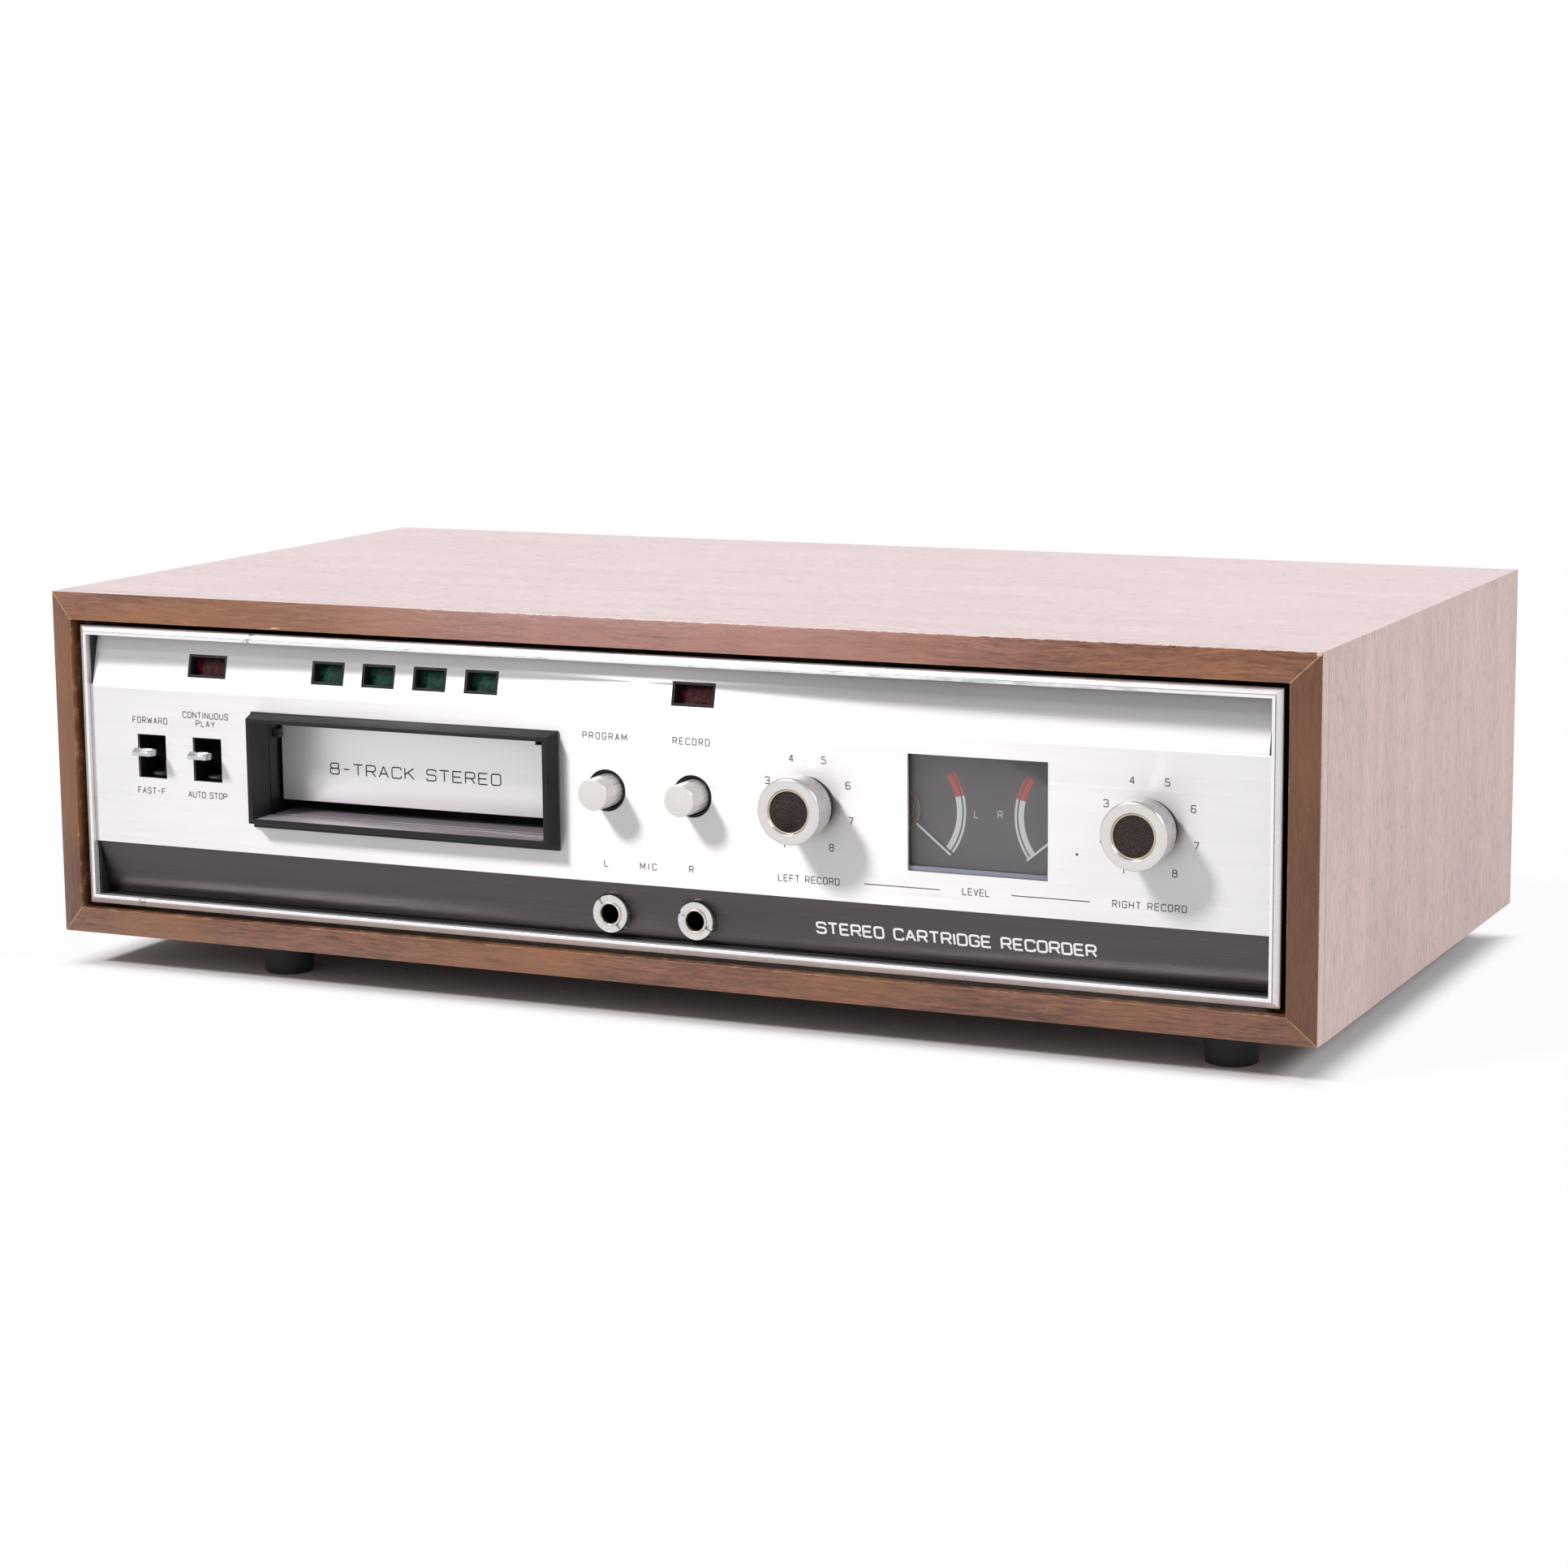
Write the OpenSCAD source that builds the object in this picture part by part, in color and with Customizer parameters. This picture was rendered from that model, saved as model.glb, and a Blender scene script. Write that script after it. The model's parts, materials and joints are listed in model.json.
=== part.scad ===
// Tabletop 8 track cartridge recorder in a mitred walnut cabinet.
// Drawn in the cabinet's own frame: X to the right, Y from the front edge to the
// back, Z up from the underside of the box; placed() then stands it on its feet.

/* [Cabinet] */
// Outside width of the wooden box
cabinet_w = 440; // [432:1:460]
// Outside height of the wooden box
cabinet_h = 116; // [116:1:120]
// Outside depth of the wooden box
cabinet_d = 230; // [226:1:260]
// Thickness of the veneered boards
board_t = 9; // [8:0.5:9]
// How far the front edge slopes out to its inner side
bevel_proud = 3; // [1:0.5:4]

/* [Feet] */
// Height of the rubber feet
foot_h = 12; // [9:0.5:16]
// Radius of the rubber feet
foot_r = 9; // [8:0.5:11]
// Middle of the left feet, from the cabinet's middle
foot_left_x = -145; // [-175:1:-120]
// Middle of the right feet, from the cabinet's middle
foot_right_x = 187; // [170:1:190]
// Middle of the feet, in from the front and back edges
foot_inset = 22; // [18:1:30]

/* [Fascia] */
// Outside width of the bright trim frame
rim_w = 417.2; // [412:0.2:418]
// Outside height of the bright trim frame
rim_h = 94.4; // [94:0.1:96]
// Width of the trim frame's face
rim_band = 3; // [2.8:0.1:3]
// Height of the bend between the flat panel and the sloping top strip
bend_z = 85.3; // [84.8:0.1:85.6]
// Height of the flat panel's lower edge
panel_low_z = 32.2; // [31.8:0.1:32.6]
// Lean of the top strip and of the lower band
lean = 13.2; // [12.5:0.1:13.5]

/* [Cartridge slot] */
// Middle of the slot, from the cabinet's middle
slot_x = -84.95; // [-86:0.05:-84]
// Width between the guide walls, for a 102 mm cartridge
slot_w = 105.9; // [105:0.1:106.5]
// Height of the bay floor
slot_z = 45; // [45:0.1:45.4]
// Height of the bay ceiling
bay_top_z = 77.2; // [76.8:0.1:77.4]
// How far the slot's bezel stands in front of the panel
bezel_reach = 5.9; // [5:0.1:7]

/* [Controls] */
// Height of the line on which the knobs and buttons sit
control_z = 61.5; // [60.5:0.1:62.5]
// Middle of the program button, and of the jack below it
program_x = -11.3; // [-13:0.1:-10]
// Middle of the record button, and of the jack below it
record_x = 18.7; // [17:0.1:20]
// Middle of the left level knob
left_knob_x = 58.1; // [56:0.1:60]
// Middle of the right level knob
right_knob_x = 168.3; // [167:0.1:170]
// Radius of a level knob at its front
knob_r = 10.4; // [9.5:0.1:11]
// How far the level knobs reach in front of the cabinet's front edge
knob_reach = 15.5; // [14:0.1:18]
// Radius of a push button's face
button_r = 5; // [4.8:0.1:5.1]
// Middle of the tape speed lever
tape_lever_x = -181.65; // [-183:0.05:-180]
// Middle of the play mode lever
play_lever_x = -159.85; // [-161:0.05:-159]
// Height of the mic jacks
jack_z = 21.8; // [21.4:0.1:22.2]

/* [Level meter] */
// Middle of the meter's window
meter_x = 113.9; // [112:0.1:116]
// Width of the meter's window
meter_w = 45.2; // [42:0.1:46]
// Height of the meter's window
meter_h = 36; // [34:0.1:37]
// Distance between the two pointers' pivots
pivot_gap = 56.5; // [56:0.1:57]

/* [Hidden] */
$fn = 64;
eps = 0.02;

// Where the cabinet stands in the part's frame
mid_y = (cabinet_d - knob_reach) / 2;

// Cabinet
lipping_d = 6;
inner_w = cabinet_w - 2 * board_t;
mid_z = 58;

// Fascia, front to back
panel_y = -0.7;
panel_t = 1.2;
panel_back_y = panel_y + panel_t;
panel_w = rim_w - 2 * rim_band - 0.2;
rim_back_y = panel_back_y;
well_w = 409.4;
strip_w = well_w - 0.4;
well_top_z = 101.8;
well_low_z = 14.1;
frame_back_y = 8;
strip_rise = well_top_z - 0.2 - bend_z;
band_top_z = panel_low_z - 0.1;
band_low_z = well_low_z + 0.2;
band_t = 1.5;
band_top_y = panel_y + 1.05;

// Chassis sheet
sheet_t = 1.2;
chassis_front_y = frame_back_y;
chassis_back_y = chassis_front_y + sheet_t;
chassis_low_z = board_t;
chassis_w = 404;
chassis_rear_y = 213;
deck_t = 1.5;
deck_left_x = slot_x - 64;
deck_right_x = 52;
deck_end_y = 165;

// Lamp windows, measured up the sloping strip from the bend
window_up = 8.1;
window_h = 7.7;
window_w = 12.2;
red_window_w = 14.8;
program_x0 = slot_x - 28.5;
program_pitch = 19;
program_count = 4;
program_xs = [for (i = [0:program_count - 1]) program_x0 + i * program_pitch];
red_xs = [play_lever_x, record_x];
lens_depth = 3.2;
housing_t = 7;

// Slide lever switches
lever_xs = [tape_lever_x, play_lever_x];
lever_hole_w = 11.1;
lever_hole_h = 14.6;
lever_hole_z = 62.2;
lever_pivot_y = 13;
lever_tip_y = -7.2;
lever_rest = 6.6;
lever_cap_w = 7.4;
lever_cap_t = 2.6;
lever_cap_d = 5;
lever_pin_r = 1.5;

// Buttons
button_xs = [program_x, record_x];
button_hole_r = 6.7;
button_front_y = -10.3;
button_back_y = 4;
collar_in_r = 5.75;

// Bay door
door_pin_y = 11;
door_pin_z = 75;
door_pin_r = 1;
door_front_y = 9.2;
door_t = 1.2;
door_low_z = 49.1;
door_w = slot_w - 1.6;

// Cartridge guide
guide_t = 1.3;
guide_front_y = 3.1;
guide_end_y = 92;
guide_out_w = slot_w + 2 * guide_t;

// Tape drive
capstan_x = slot_x + 37;
capstan_y = 97;
capstan_r = 3;
flywheel_r = 42;
flywheel_z = 18;
flywheel_t = 13;
motor_x = 22;
motor_y = 128;
motor_r = 21;
pulley_r = 4;
belt_z = flywheel_z + 5;
belt_t = 1.2;
belt_h = 3;

// Head and program cam
head_x = slot_x - 9;
post_y = 110;
post_r = 2.5;
cam_y = 126;
cam_z = 55;
cam_low_r = 6;
cam_lift = 2.44;
cam_sweep = 270;

// Cartridge latch
latch_x = slot_x - 60.5;
latch_y = 40;
latch_pin_y = 64;
latch_pin_r = 1.5;

// Meter
dial_y = 6;
needle_y = 4.5;
needle_len = 20.6;
needle_rest = 38.5;
pivot_xs = [meter_x + 1.75 - pivot_gap / 2, meter_x + 1.75 + pivot_gap / 2];
meter_z = 61.3;
meter_case_w = pivot_gap + 17;
meter_case_h = 42;

// Jacks and sockets
jack_bore_r = 3.2;
jack_bush_r = 3.9;
nut_r = 6;
socket_xs = [-150, -132, -114, -96];
socket_z = 40;
socket_r = 4.15;
cord_x = 150;
cord_z = 34;
cord_bore_r = 3.7;
grommet_neck_r = 6;
grommet_lip_r = 8.5;

walnut = [0.40, 0.24, 0.15];
walnut_pale = [0.62, 0.47, 0.40];
brushed = [0.80, 0.80, 0.79];
satin = [0.72, 0.72, 0.71];
bright = [0.86, 0.86, 0.88];
black = [0.09, 0.09, 0.10];
char = [0.18, 0.17, 0.18];
brass_tone = [0.75, 0.60, 0.32];
steel_tone = [0.60, 0.61, 0.62];
rubber_tone = [0.07, 0.07, 0.07];

// ---- helpers --------------------------------------------------------------

module placed() {
    translate([0, -mid_y, foot_h]) children();
}

// A box given by its low corner and its high corner
module block(low, high) {
    translate(low) cube(high - low);
}

// A solid round along Y, from y0 to y1
module rod_y(x, z, r, y0, y1) {
    translate([x, y0, z]) rotate([-90, 0, 0]) cylinder(r = r, h = y1 - y0);
}

// A cone along Y, from radius r0 at y0 to radius r1 at y1
module cone_y(x, z, r0, r1, y0, y1) {
    translate([x, y0, z]) rotate([-90, 0, 0]) cylinder(r1 = r0, r2 = r1, h = y1 - y0);
}

module rod_z(x, y, r, z0, z1) {
    translate([x, y, z0]) cylinder(r = r, h = z1 - z0);
}

module rod_x(y, z, r, x0, x1) {
    translate([x0, y, z]) rotate([0, 90, 0]) cylinder(r = r, h = x1 - x0);
}

// One side of a mitred frame that stands in the XZ plane, middle at the origin.
// The profile's points are [inward from the outer edge, y].
module mitred_side(w, h, band, profile) {
    intersection() {
        translate([-w / 2, 0, h / 2])
            rotate([0, 90, 0])
                linear_extrude(height = w) polygon(profile);
        translate([0, cabinet_d + 100, 0])
            rotate([90, 0, 0])
                linear_extrude(height = cabinet_d + 200)
                    polygon([
                        [-w / 2, h / 2], [w / 2, h / 2],
                        [w / 2 - band, h / 2 - band], [band - w / 2, h / 2 - band]
                    ]);
    }
}

// The side numbered 0 top, 1 right, 2 bottom, 3 left
module frame_side(i, w, h, band, profile) {
    across = i % 2 == 0;
    rotate([0, 90 * i, 0])
        mitred_side(across ? w : h, across ? h : w, band, profile);
}

module mitred_frame(w, h, band, profile) {
    for (i = [0:3]) frame_side(i, w, h, band, profile);
}

// A plate across X from a profile of [y, z] points
module profile_x(w, points) {
    translate([-w / 2, 0, 0])
        rotate([90, 0, 90])
            linear_extrude(height = w) polygon(points);
}

// The frame of the sloping top strip: Y into the deck, Z up the strip
module on_strip() {
    translate([0, panel_y, bend_z]) rotate([-lean, 0, 0]) children();
}

// ---- cabinet --------------------------------------------------------------

board_profile = [[0, lipping_d], [board_t, lipping_d], [board_t, cabinet_d], [0, cabinet_d]];
lipping_profile = [[0, 0], [board_t, -bevel_proud], [board_t, lipping_d], [0, lipping_d]];

module cabinet_board(i) {
    placed() translate([0, 0, cabinet_h / 2])
        frame_side(i, cabinet_w, cabinet_h, board_t, board_profile);
}

module cabinet_top() {
    color(walnut_pale) cabinet_board(0);
}

module cabinet_right() {
    color(walnut_pale) cabinet_board(1);
}

module cabinet_left() {
    color(walnut_pale) cabinet_board(3);
}

module cabinet_bottom() {
    color(walnut_pale) difference() {
        cabinet_board(2);
        placed() foot_places() rod_z(0, 0, foot_screw_r + 0.15, -1, board_t + 1);
    }
}

module front_lipping() {
    color(walnut) placed() translate([0, 0, cabinet_h / 2])
        mitred_frame(cabinet_w, cabinet_h, board_t, lipping_profile);
}

back_y = chassis_rear_y + sheet_t;
back_t = 3;
back_gap = 0.6;
back_screw_xs = [-180, 60, 184];
back_screw_zs = [24, 92];
back_screw_r = 1.5;
back_screw_head_r = 3.2;

module back_screw_places() {
    for (x = back_screw_xs, z = back_screw_zs) translate([x, 0, z]) children();
}

vent_count = 12;
vent_pitch = 12;
vent_w = 5;
vent_h = 30;

module back_panel() {
    color([0.30, 0.22, 0.16]) placed() difference() {
        block([back_gap - inner_w / 2, back_y, board_t + back_gap],
              [inner_w / 2 - back_gap, back_y + back_t, cabinet_h - board_t - back_gap]);
        socket_window(back_y - 1, back_y + back_t + 1, 0);
        rod_y(cord_x, cord_z, grommet_neck_r + 0.1, back_y - 1, back_y + back_t + 1);
        back_screw_places() rod_y(0, 0, back_screw_r + 0.15, back_y - 1, back_y + back_t + 1);
        for (i = [0:vent_count - 1])
            translate([-50 + i * vent_pitch, back_y - 1, 60]) cube([vent_w, back_t + 2, vent_h]);
    }
}

// Rubber bushing that the power cord passes through
module cord_grommet() {
    color(rubber_tone) placed() difference() {
        union() {
            rod_y(cord_x, cord_z, grommet_neck_r, back_y - 1.6, back_y + back_t + 2);
            rod_y(cord_x, cord_z, grommet_lip_r, back_y + back_t + 0.1, back_y + back_t + 2.4);
            rod_y(cord_x, cord_z, grommet_neck_r + 1, back_y - 1.9, back_y - 0.1);
        }
        rod_y(cord_x, cord_z, cord_bore_r, back_y - 3, back_y + back_t + 4);
    }
}

module back_screws() {
    color(steel_tone) placed() back_screw_places() difference() {
        union() {
            rod_y(0, 0, back_screw_r, chassis_rear_y - 3, back_y + back_t + 0.5);
            rod_y(0, 0, back_screw_head_r, back_y + back_t, back_y + back_t + 1.8);
        }
        block([-3.5, back_y + back_t + 1, -0.4], [3.5, back_y + back_t + 2, 0.4]);
        block([-0.4, back_y + back_t + 1, -3.5], [0.4, back_y + back_t + 2, 3.5]);
    }
}

// ---- feet -----------------------------------------------------------------

foot_screw_r = 2;
foot_screw_head_r = 4;
foot_recess = 5;

module foot_places() {
    for (x = [foot_left_x, foot_right_x], y = [foot_inset, cabinet_d - foot_inset])
        translate([x, y, 0]) children();
}

module feet() {
    color(rubber_tone) placed() foot_places() difference() {
        translate([0, 0, -foot_h]) cylinder(r1 = foot_r - 1, r2 = foot_r, h = foot_h);
        rod_z(0, 0, foot_screw_r + 0.15, -foot_h - 1, 1);
        rod_z(0, 0, foot_screw_head_r + 0.5, -foot_h - 1, foot_recess - foot_h);
    }
}

module foot_screws() {
    color(steel_tone) placed() foot_places() difference() {
        union() {
            rod_z(0, 0, foot_screw_r, foot_recess - foot_h - 1, chassis_low_z + sheet_t + 2);
            rod_z(0, 0, foot_screw_head_r, foot_recess - foot_h - 2.4, foot_recess - foot_h);
        }
        block([-4.5, -0.5, foot_recess - foot_h - 3], [4.5, 0.5, foot_recess - foot_h - 1.4]);
    }
}

// ---- fascia ---------------------------------------------------------------

rim_profile = [[0, -0.6], [1.9, -1.7], [2, -2.3], [rim_band, -2.3], [rim_band, rim_back_y],
               [0, rim_back_y]];

module trim_rim() {
    color(bright) placed() translate([0, 0, mid_z])
        mitred_frame(rim_w, rim_h, rim_band, rim_profile);
}

ledge_w = 6;
ledge_low = 1.5;
ledge_top = 4;

module fascia_frame() {
    color(black) placed() difference() {
        block([-rim_w / 2 + 0.4, rim_back_y, mid_z - rim_h / 2 + 0.4],
              [rim_w / 2 - 0.4, frame_back_y, mid_z + rim_h / 2 - 0.4]);
        block([-well_w / 2, rim_back_y - 1, well_low_z], [well_w / 2, frame_back_y - 1.5, well_top_z]);
        block([ledge_w - well_w / 2, 0, well_low_z + ledge_low],
              [well_w / 2 - ledge_w, frame_back_y + 1, well_top_z - ledge_top]);
    }
}

strip_top_y = panel_y + strip_rise * tan(lean);

module fascia_sheet() {
    profile_x(panel_w, [
        [panel_y, panel_low_z], [panel_y, bend_z], [panel_back_y, bend_z],
        [panel_back_y, panel_low_z]
    ]);
    profile_x(strip_w, [
        [panel_y, bend_z - 1], [panel_y, bend_z], [strip_top_y, bend_z + strip_rise],
        [strip_top_y + panel_t, bend_z + strip_rise], [panel_back_y, bend_z - 0.3],
        [panel_back_y, bend_z - 1]
    ]);
}

module lamp_window_cuts(grow) {
    on_strip() {
        for (x = program_xs)
            block([x - window_w / 2 - grow, -1, window_up - window_h / 2 - grow],
                  [x + window_w / 2 + grow, 3, window_up + window_h / 2 + grow]);
        for (x = red_xs)
            block([x - red_window_w / 2 - grow, -1, window_up - window_h / 2 - grow],
                  [x + red_window_w / 2 + grow, 3, window_up + window_h / 2 + grow]);
    }
}

module fascia_panel() {
    color(brushed) placed() difference() {
        fascia_sheet();
        lamp_window_cuts(0);
        for (x = lever_xs)
            block([x - lever_hole_w / 2, -2, lever_hole_z - lever_hole_h / 2],
                  [x + lever_hole_w / 2, 2, lever_hole_z + lever_hole_h / 2]);
        block([slot_x - sleeve_w / 2 - 0.2, -2, sleeve_low_z - 0.2],
              [slot_x + sleeve_w / 2 + 0.2, 2, sleeve_top_z + 0.2]);
        for (x = button_xs) rod_y(x, control_z, button_hole_r, -2, 2);
        for (x = [left_knob_x, right_knob_x]) rod_y(x, control_z, 5.5, -2, 2);
        block([meter_x - meter_w / 2, -2, meter_z - meter_h / 2],
              [meter_x + meter_w / 2, 2, meter_z + meter_h / 2]);
    }
}

band_low_y = band_top_y + (band_top_z - band_low_z) * tan(lean);

module lower_band() {
    color(char) placed() difference() {
        profile_x(strip_w, [
            [band_top_y, band_top_z], [band_low_y, band_low_z],
            [band_low_y + band_t, band_low_z], [band_top_y + band_t, band_top_z]
        ]);
        for (x = button_xs) rod_y(x, jack_z, nut_r + 0.3, -2, 8);
    }
}

// ---- indicator lamps ------------------------------------------------------

module lamp_tunnel(x, w) {
    difference() {
        block([x - w / 2 + 0.1, 0.05, window_up - window_h / 2 + 0.1],
              [x + w / 2 - 0.1, 3, window_up + window_h / 2 - 0.1]);
        lamp_tunnel_bore(x, w);
    }
}

module lamp_tunnel_bore(x, w) {
    block([x - w / 2 + 0.9, -1, window_up - window_h / 2 + 0.9],
          [x + w / 2 - 0.9, housing_t + 1, window_up + window_h / 2 - 0.9]);
}

lamp_ends = [red_xs[0] - red_window_w / 2 - 2, red_xs[1] + red_window_w / 2 + 2];

module lamp_housing() {
    color(black) placed() on_strip() {
        difference() {
            block([lamp_ends[0], panel_t + 0.1, window_up - window_h / 2 - 1.4],
                  [lamp_ends[1], housing_t, window_up + window_h / 2 + 1.4]);
            for (x = program_xs) lamp_tunnel_bore(x, window_w);
            for (x = red_xs) lamp_tunnel_bore(x, red_window_w);
        }
        for (x = program_xs) lamp_tunnel(x, window_w);
        for (x = red_xs) lamp_tunnel(x, red_window_w);
    }
}

module lens(x, w) {
    block([x - w / 2 + 0.95, lens_depth, window_up - window_h / 2 + 0.95],
          [x + w / 2 - 0.95, lens_depth + 1.2, window_up + window_h / 2 - 0.95]);
}

module red_lenses() {
    color([0.45, 0.06, 0.08]) placed() on_strip()
        for (x = red_xs) lens(x, red_window_w);
}

module program_lenses() {
    color([0.04, 0.30, 0.20]) placed() on_strip()
        for (x = program_xs) lens(x, window_w);
}

bulb_r = 1.5;
bulb_tip_y = lens_depth + 2.9;

module lamp_board() {
    color([0.45, 0.33, 0.16]) placed() on_strip() {
        block([lamp_ends[0], housing_t + 0.1, window_up - 6],
              [lamp_ends[1], housing_t + 1.3, window_up + 5]);
        for (x = concat(program_xs, red_xs)) {
            rod_y(x, window_up, bulb_r, bulb_tip_y, housing_t + 0.2);
            cone_y(x, window_up, 0.8, bulb_r, bulb_tip_y - 0.8, bulb_tip_y + eps);
        }
    }
}

// ---- cartridge slot -------------------------------------------------------

bezel_w = 113.6;
bezel_low_z = 41.9;
bezel_top_z = 79.4;
bezel_front_w = 111.5;
bezel_front_low_z = 43.2;
bezel_front_top_z = 78;
mouth_w = 107.8;
mouth_low_z = 44.9;
mouth_top_z = 76.6;
sleeve_w = 111.6;
sleeve_low_z = 42.6;
sleeve_top_z = 78.6;
bezel_front_y = panel_y - bezel_reach;

// A box that tapers from one rectangle at y0 to another at y1, middle at slot_x
module taper_box(y0, w0, low0, top0, y1, w1, low1, top1) {
    intersection() {
        translate([slot_x, 0, 0])
            linear_extrude(height = 120)
                polygon([[-w0 / 2, y0], [w0 / 2, y0], [w1 / 2, y1], [-w1 / 2, y1]]);
        translate([slot_x, 0, 0])
            profile_x(2 * bezel_w, [[y0, low0], [y0, top0], [y1, top1], [y1, low1]]);
    }
}

module cartridge_bezel() {
    color(black) placed() difference() {
        union() {
            taper_box(bezel_front_y, bezel_front_w, bezel_front_low_z, bezel_front_top_z,
                      panel_y - eps, bezel_w, bezel_low_z, bezel_top_z);
            block([slot_x - bezel_w / 2 - 0.2, panel_y - 0.9, bezel_low_z - 0.8],
                  [slot_x + bezel_w / 2 + 0.2, panel_y - eps, bezel_top_z + 0.1]);
            block([slot_x - sleeve_w / 2, panel_y - 1, sleeve_low_z],
                  [slot_x + sleeve_w / 2, guide_front_y - 0.1, sleeve_top_z]);
        }
        taper_box(bezel_front_y - 1, mouth_w + 0.4, mouth_low_z - 0.05, mouth_top_z - 0.05,
                  guide_front_y + 1, slot_w, slot_z, bay_top_z);
    }
}

module cartridge_door() {
    color(brushed) placed() translate([slot_x, 0, 0]) difference() {
        union() {
            block([-door_w / 2, door_front_y, door_low_z], [door_w / 2, door_front_y + door_t, door_pin_z]);
            rod_x(door_pin_y, door_pin_z, door_pin_y - door_front_y, -door_w / 2, door_w / 2);
        }
        rod_x(door_pin_y, door_pin_z, door_pin_r + 0.06, -door_w, door_w);
        block([door_w / 2 - spring_room, door_front_y - 1, door_pin_z - 2.2],
              [door_w / 2 + 1, door_front_y + 10, door_pin_z + 3]);
    }
}

module door_pin() {
    color(steel_tone) placed() rod_x(door_pin_y, door_pin_z, door_pin_r,
                                     slot_x - guide_out_w / 2, slot_x + guide_out_w / 2);
}

spring_room = 9;
spring_w = 6;
spring_wire_r = 0.3;
spring_coil_r = 1.36;
spring_start = 120;
spring_end = 1890;
spring_steps = 40;
spring_up_leg = [[-spring_w / 2, 2.66, 1.86]];
spring_door_leg = [[spring_w / 2, -0.28, -9]];

// Points along the door spring: a leg to the ceiling, the turns, a leg behind the door
function spring_turn(t) =
    let (a = spring_start + (spring_end - spring_start) * t)
    [(t - 0.5) * spring_w, spring_coil_r * sin(a), spring_coil_r * cos(a)];
spring_path = concat(
    spring_up_leg, [for (i = [0:spring_steps]) spring_turn(i / spring_steps)], spring_door_leg
);

function unit(v) = v / norm(v);

// Direction of a path at its point i
function heading(path, i) = unit(path[min(i + 1, len(path) - 1)] - path[max(i - 1, 0)]);

function ring(path, i, r, sides) =
    let (d = heading(path, i), a = unit(cross(d, [1, 0, 0.01])), b = cross(d, a))
    [for (k = [0:sides - 1]) path[i] + r * (cos(360 * k / sides) * a + sin(360 * k / sides) * b)];

module wire(path, r, sides) {
    rings = [for (i = [0:len(path) - 1]) each ring(path, i, r, sides)];
    last = (len(path) - 1) * sides;
    walls = [
        for (i = [0:len(path) - 2], k = [0:sides - 1])
            each [
                [i * sides + k, (i + 1) * sides + k, i * sides + (k + 1) % sides],
                [(i + 1) * sides + k, (i + 1) * sides + (k + 1) % sides, i * sides + (k + 1) % sides]
            ]
    ];
    ends = [
        for (k = [1:sides - 2]) [0, k, k + 1],
        for (k = [1:sides - 2]) [last, last + k + 1, last + k]
    ];
    polyhedron(points = rings, faces = concat(walls, ends));
}

spring_gap = 360 * spring_w / (spring_end - spring_start) - 2 * spring_wire_r;
echo(door_spring_least_gap_mm = spring_gap);

module door_spring() {
    color(steel_tone) placed()
        translate([slot_x + door_w / 2 - spring_room / 2, door_pin_y, door_pin_z])
            wire(spring_path, spring_wire_r, 8);
}

latch_slot_y = [latch_y - 8, latch_y + 8];

module cartridge_guide() {
    color([0.16, 0.16, 0.17]) placed() translate([slot_x, 0, 0]) difference() {
        union() {
            for (s = [-1, 1]) {
                translate([s * (slot_w + guide_t) / 2 - guide_t / 2, guide_front_y, slot_z])
                    cube([guide_t, guide_end_y - guide_front_y, bay_top_z - slot_z + guide_t]);
                translate([s * (guide_out_w + 12) / 2 - 6 - s * 0.5, chassis_back_y + 1, slot_z])
                    cube([12, guide_end_y - chassis_back_y - 1, 1]);
                translate([s * (slot_w / 2 - 0.7) - 0.8, door_front_y - 2.8, door_pin_z - 5])
                    cube([1.6, 2.5, 3]);
            }
            block([-guide_out_w / 2, guide_front_y, bay_top_z],
                  [guide_out_w / 2, guide_end_y, bay_top_z + guide_t]);
        }
        rod_x(door_pin_y, door_pin_z, door_pin_r + eps, -guide_out_w, guide_out_w);
        rod_z(latch_x - slot_x, latch_pin_y, latch_pin_r + 0.3, slot_z - 1, slot_z + 2);
        block([-guide_out_w / 2 - 1, latch_slot_y[0], slot_z + 6],
              [-slot_w / 2 + 1, latch_slot_y[1], slot_z + 18]);
    }
}

// ---- lever switches -------------------------------------------------------

lever_body_w = 14;
lever_body_low_z = 50;
lever_body_top_z = 74.4;
lever_body_end_y = 24;

module switch_bodies() {
    color(black) placed() for (x = lever_xs) difference() {
        block([x - lever_body_w / 2, panel_back_y + 0.1, lever_body_low_z],
              [x + lever_body_w / 2, lever_body_end_y, lever_body_top_z]);
        block([x - lever_hole_w / 2 - 0.3, 0, lever_hole_z - lever_hole_h / 2 - 0.3],
              [x + lever_hole_w / 2 + 0.3, lever_body_end_y - 3, lever_hole_z + lever_hole_h / 2 + 0.3]);
        rod_x(lever_pivot_y, lever_hole_z, lever_pin_r + 0.05, x - lever_body_w, x + lever_body_w);
    }
}

// The frame of a lever in its upper position: Y along the lever from its pivot
module lever_frame(x) {
    translate([x, lever_pivot_y, lever_hole_z]) rotate([-lever_rest, 0, 0]) children();
}

lever_arm_y = lever_tip_y + lever_cap_d - lever_pivot_y;

module lever(x) {
    color(black) placed() lever_frame(x) {
        rod_x(0, 0, 5, -4, 4);
        rod_x(0, 0, lever_pin_r, -lever_body_w / 2, lever_body_w / 2);
        block([-2.2, lever_arm_y, -1], [2.2, -3, 1]);
    }
}

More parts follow.
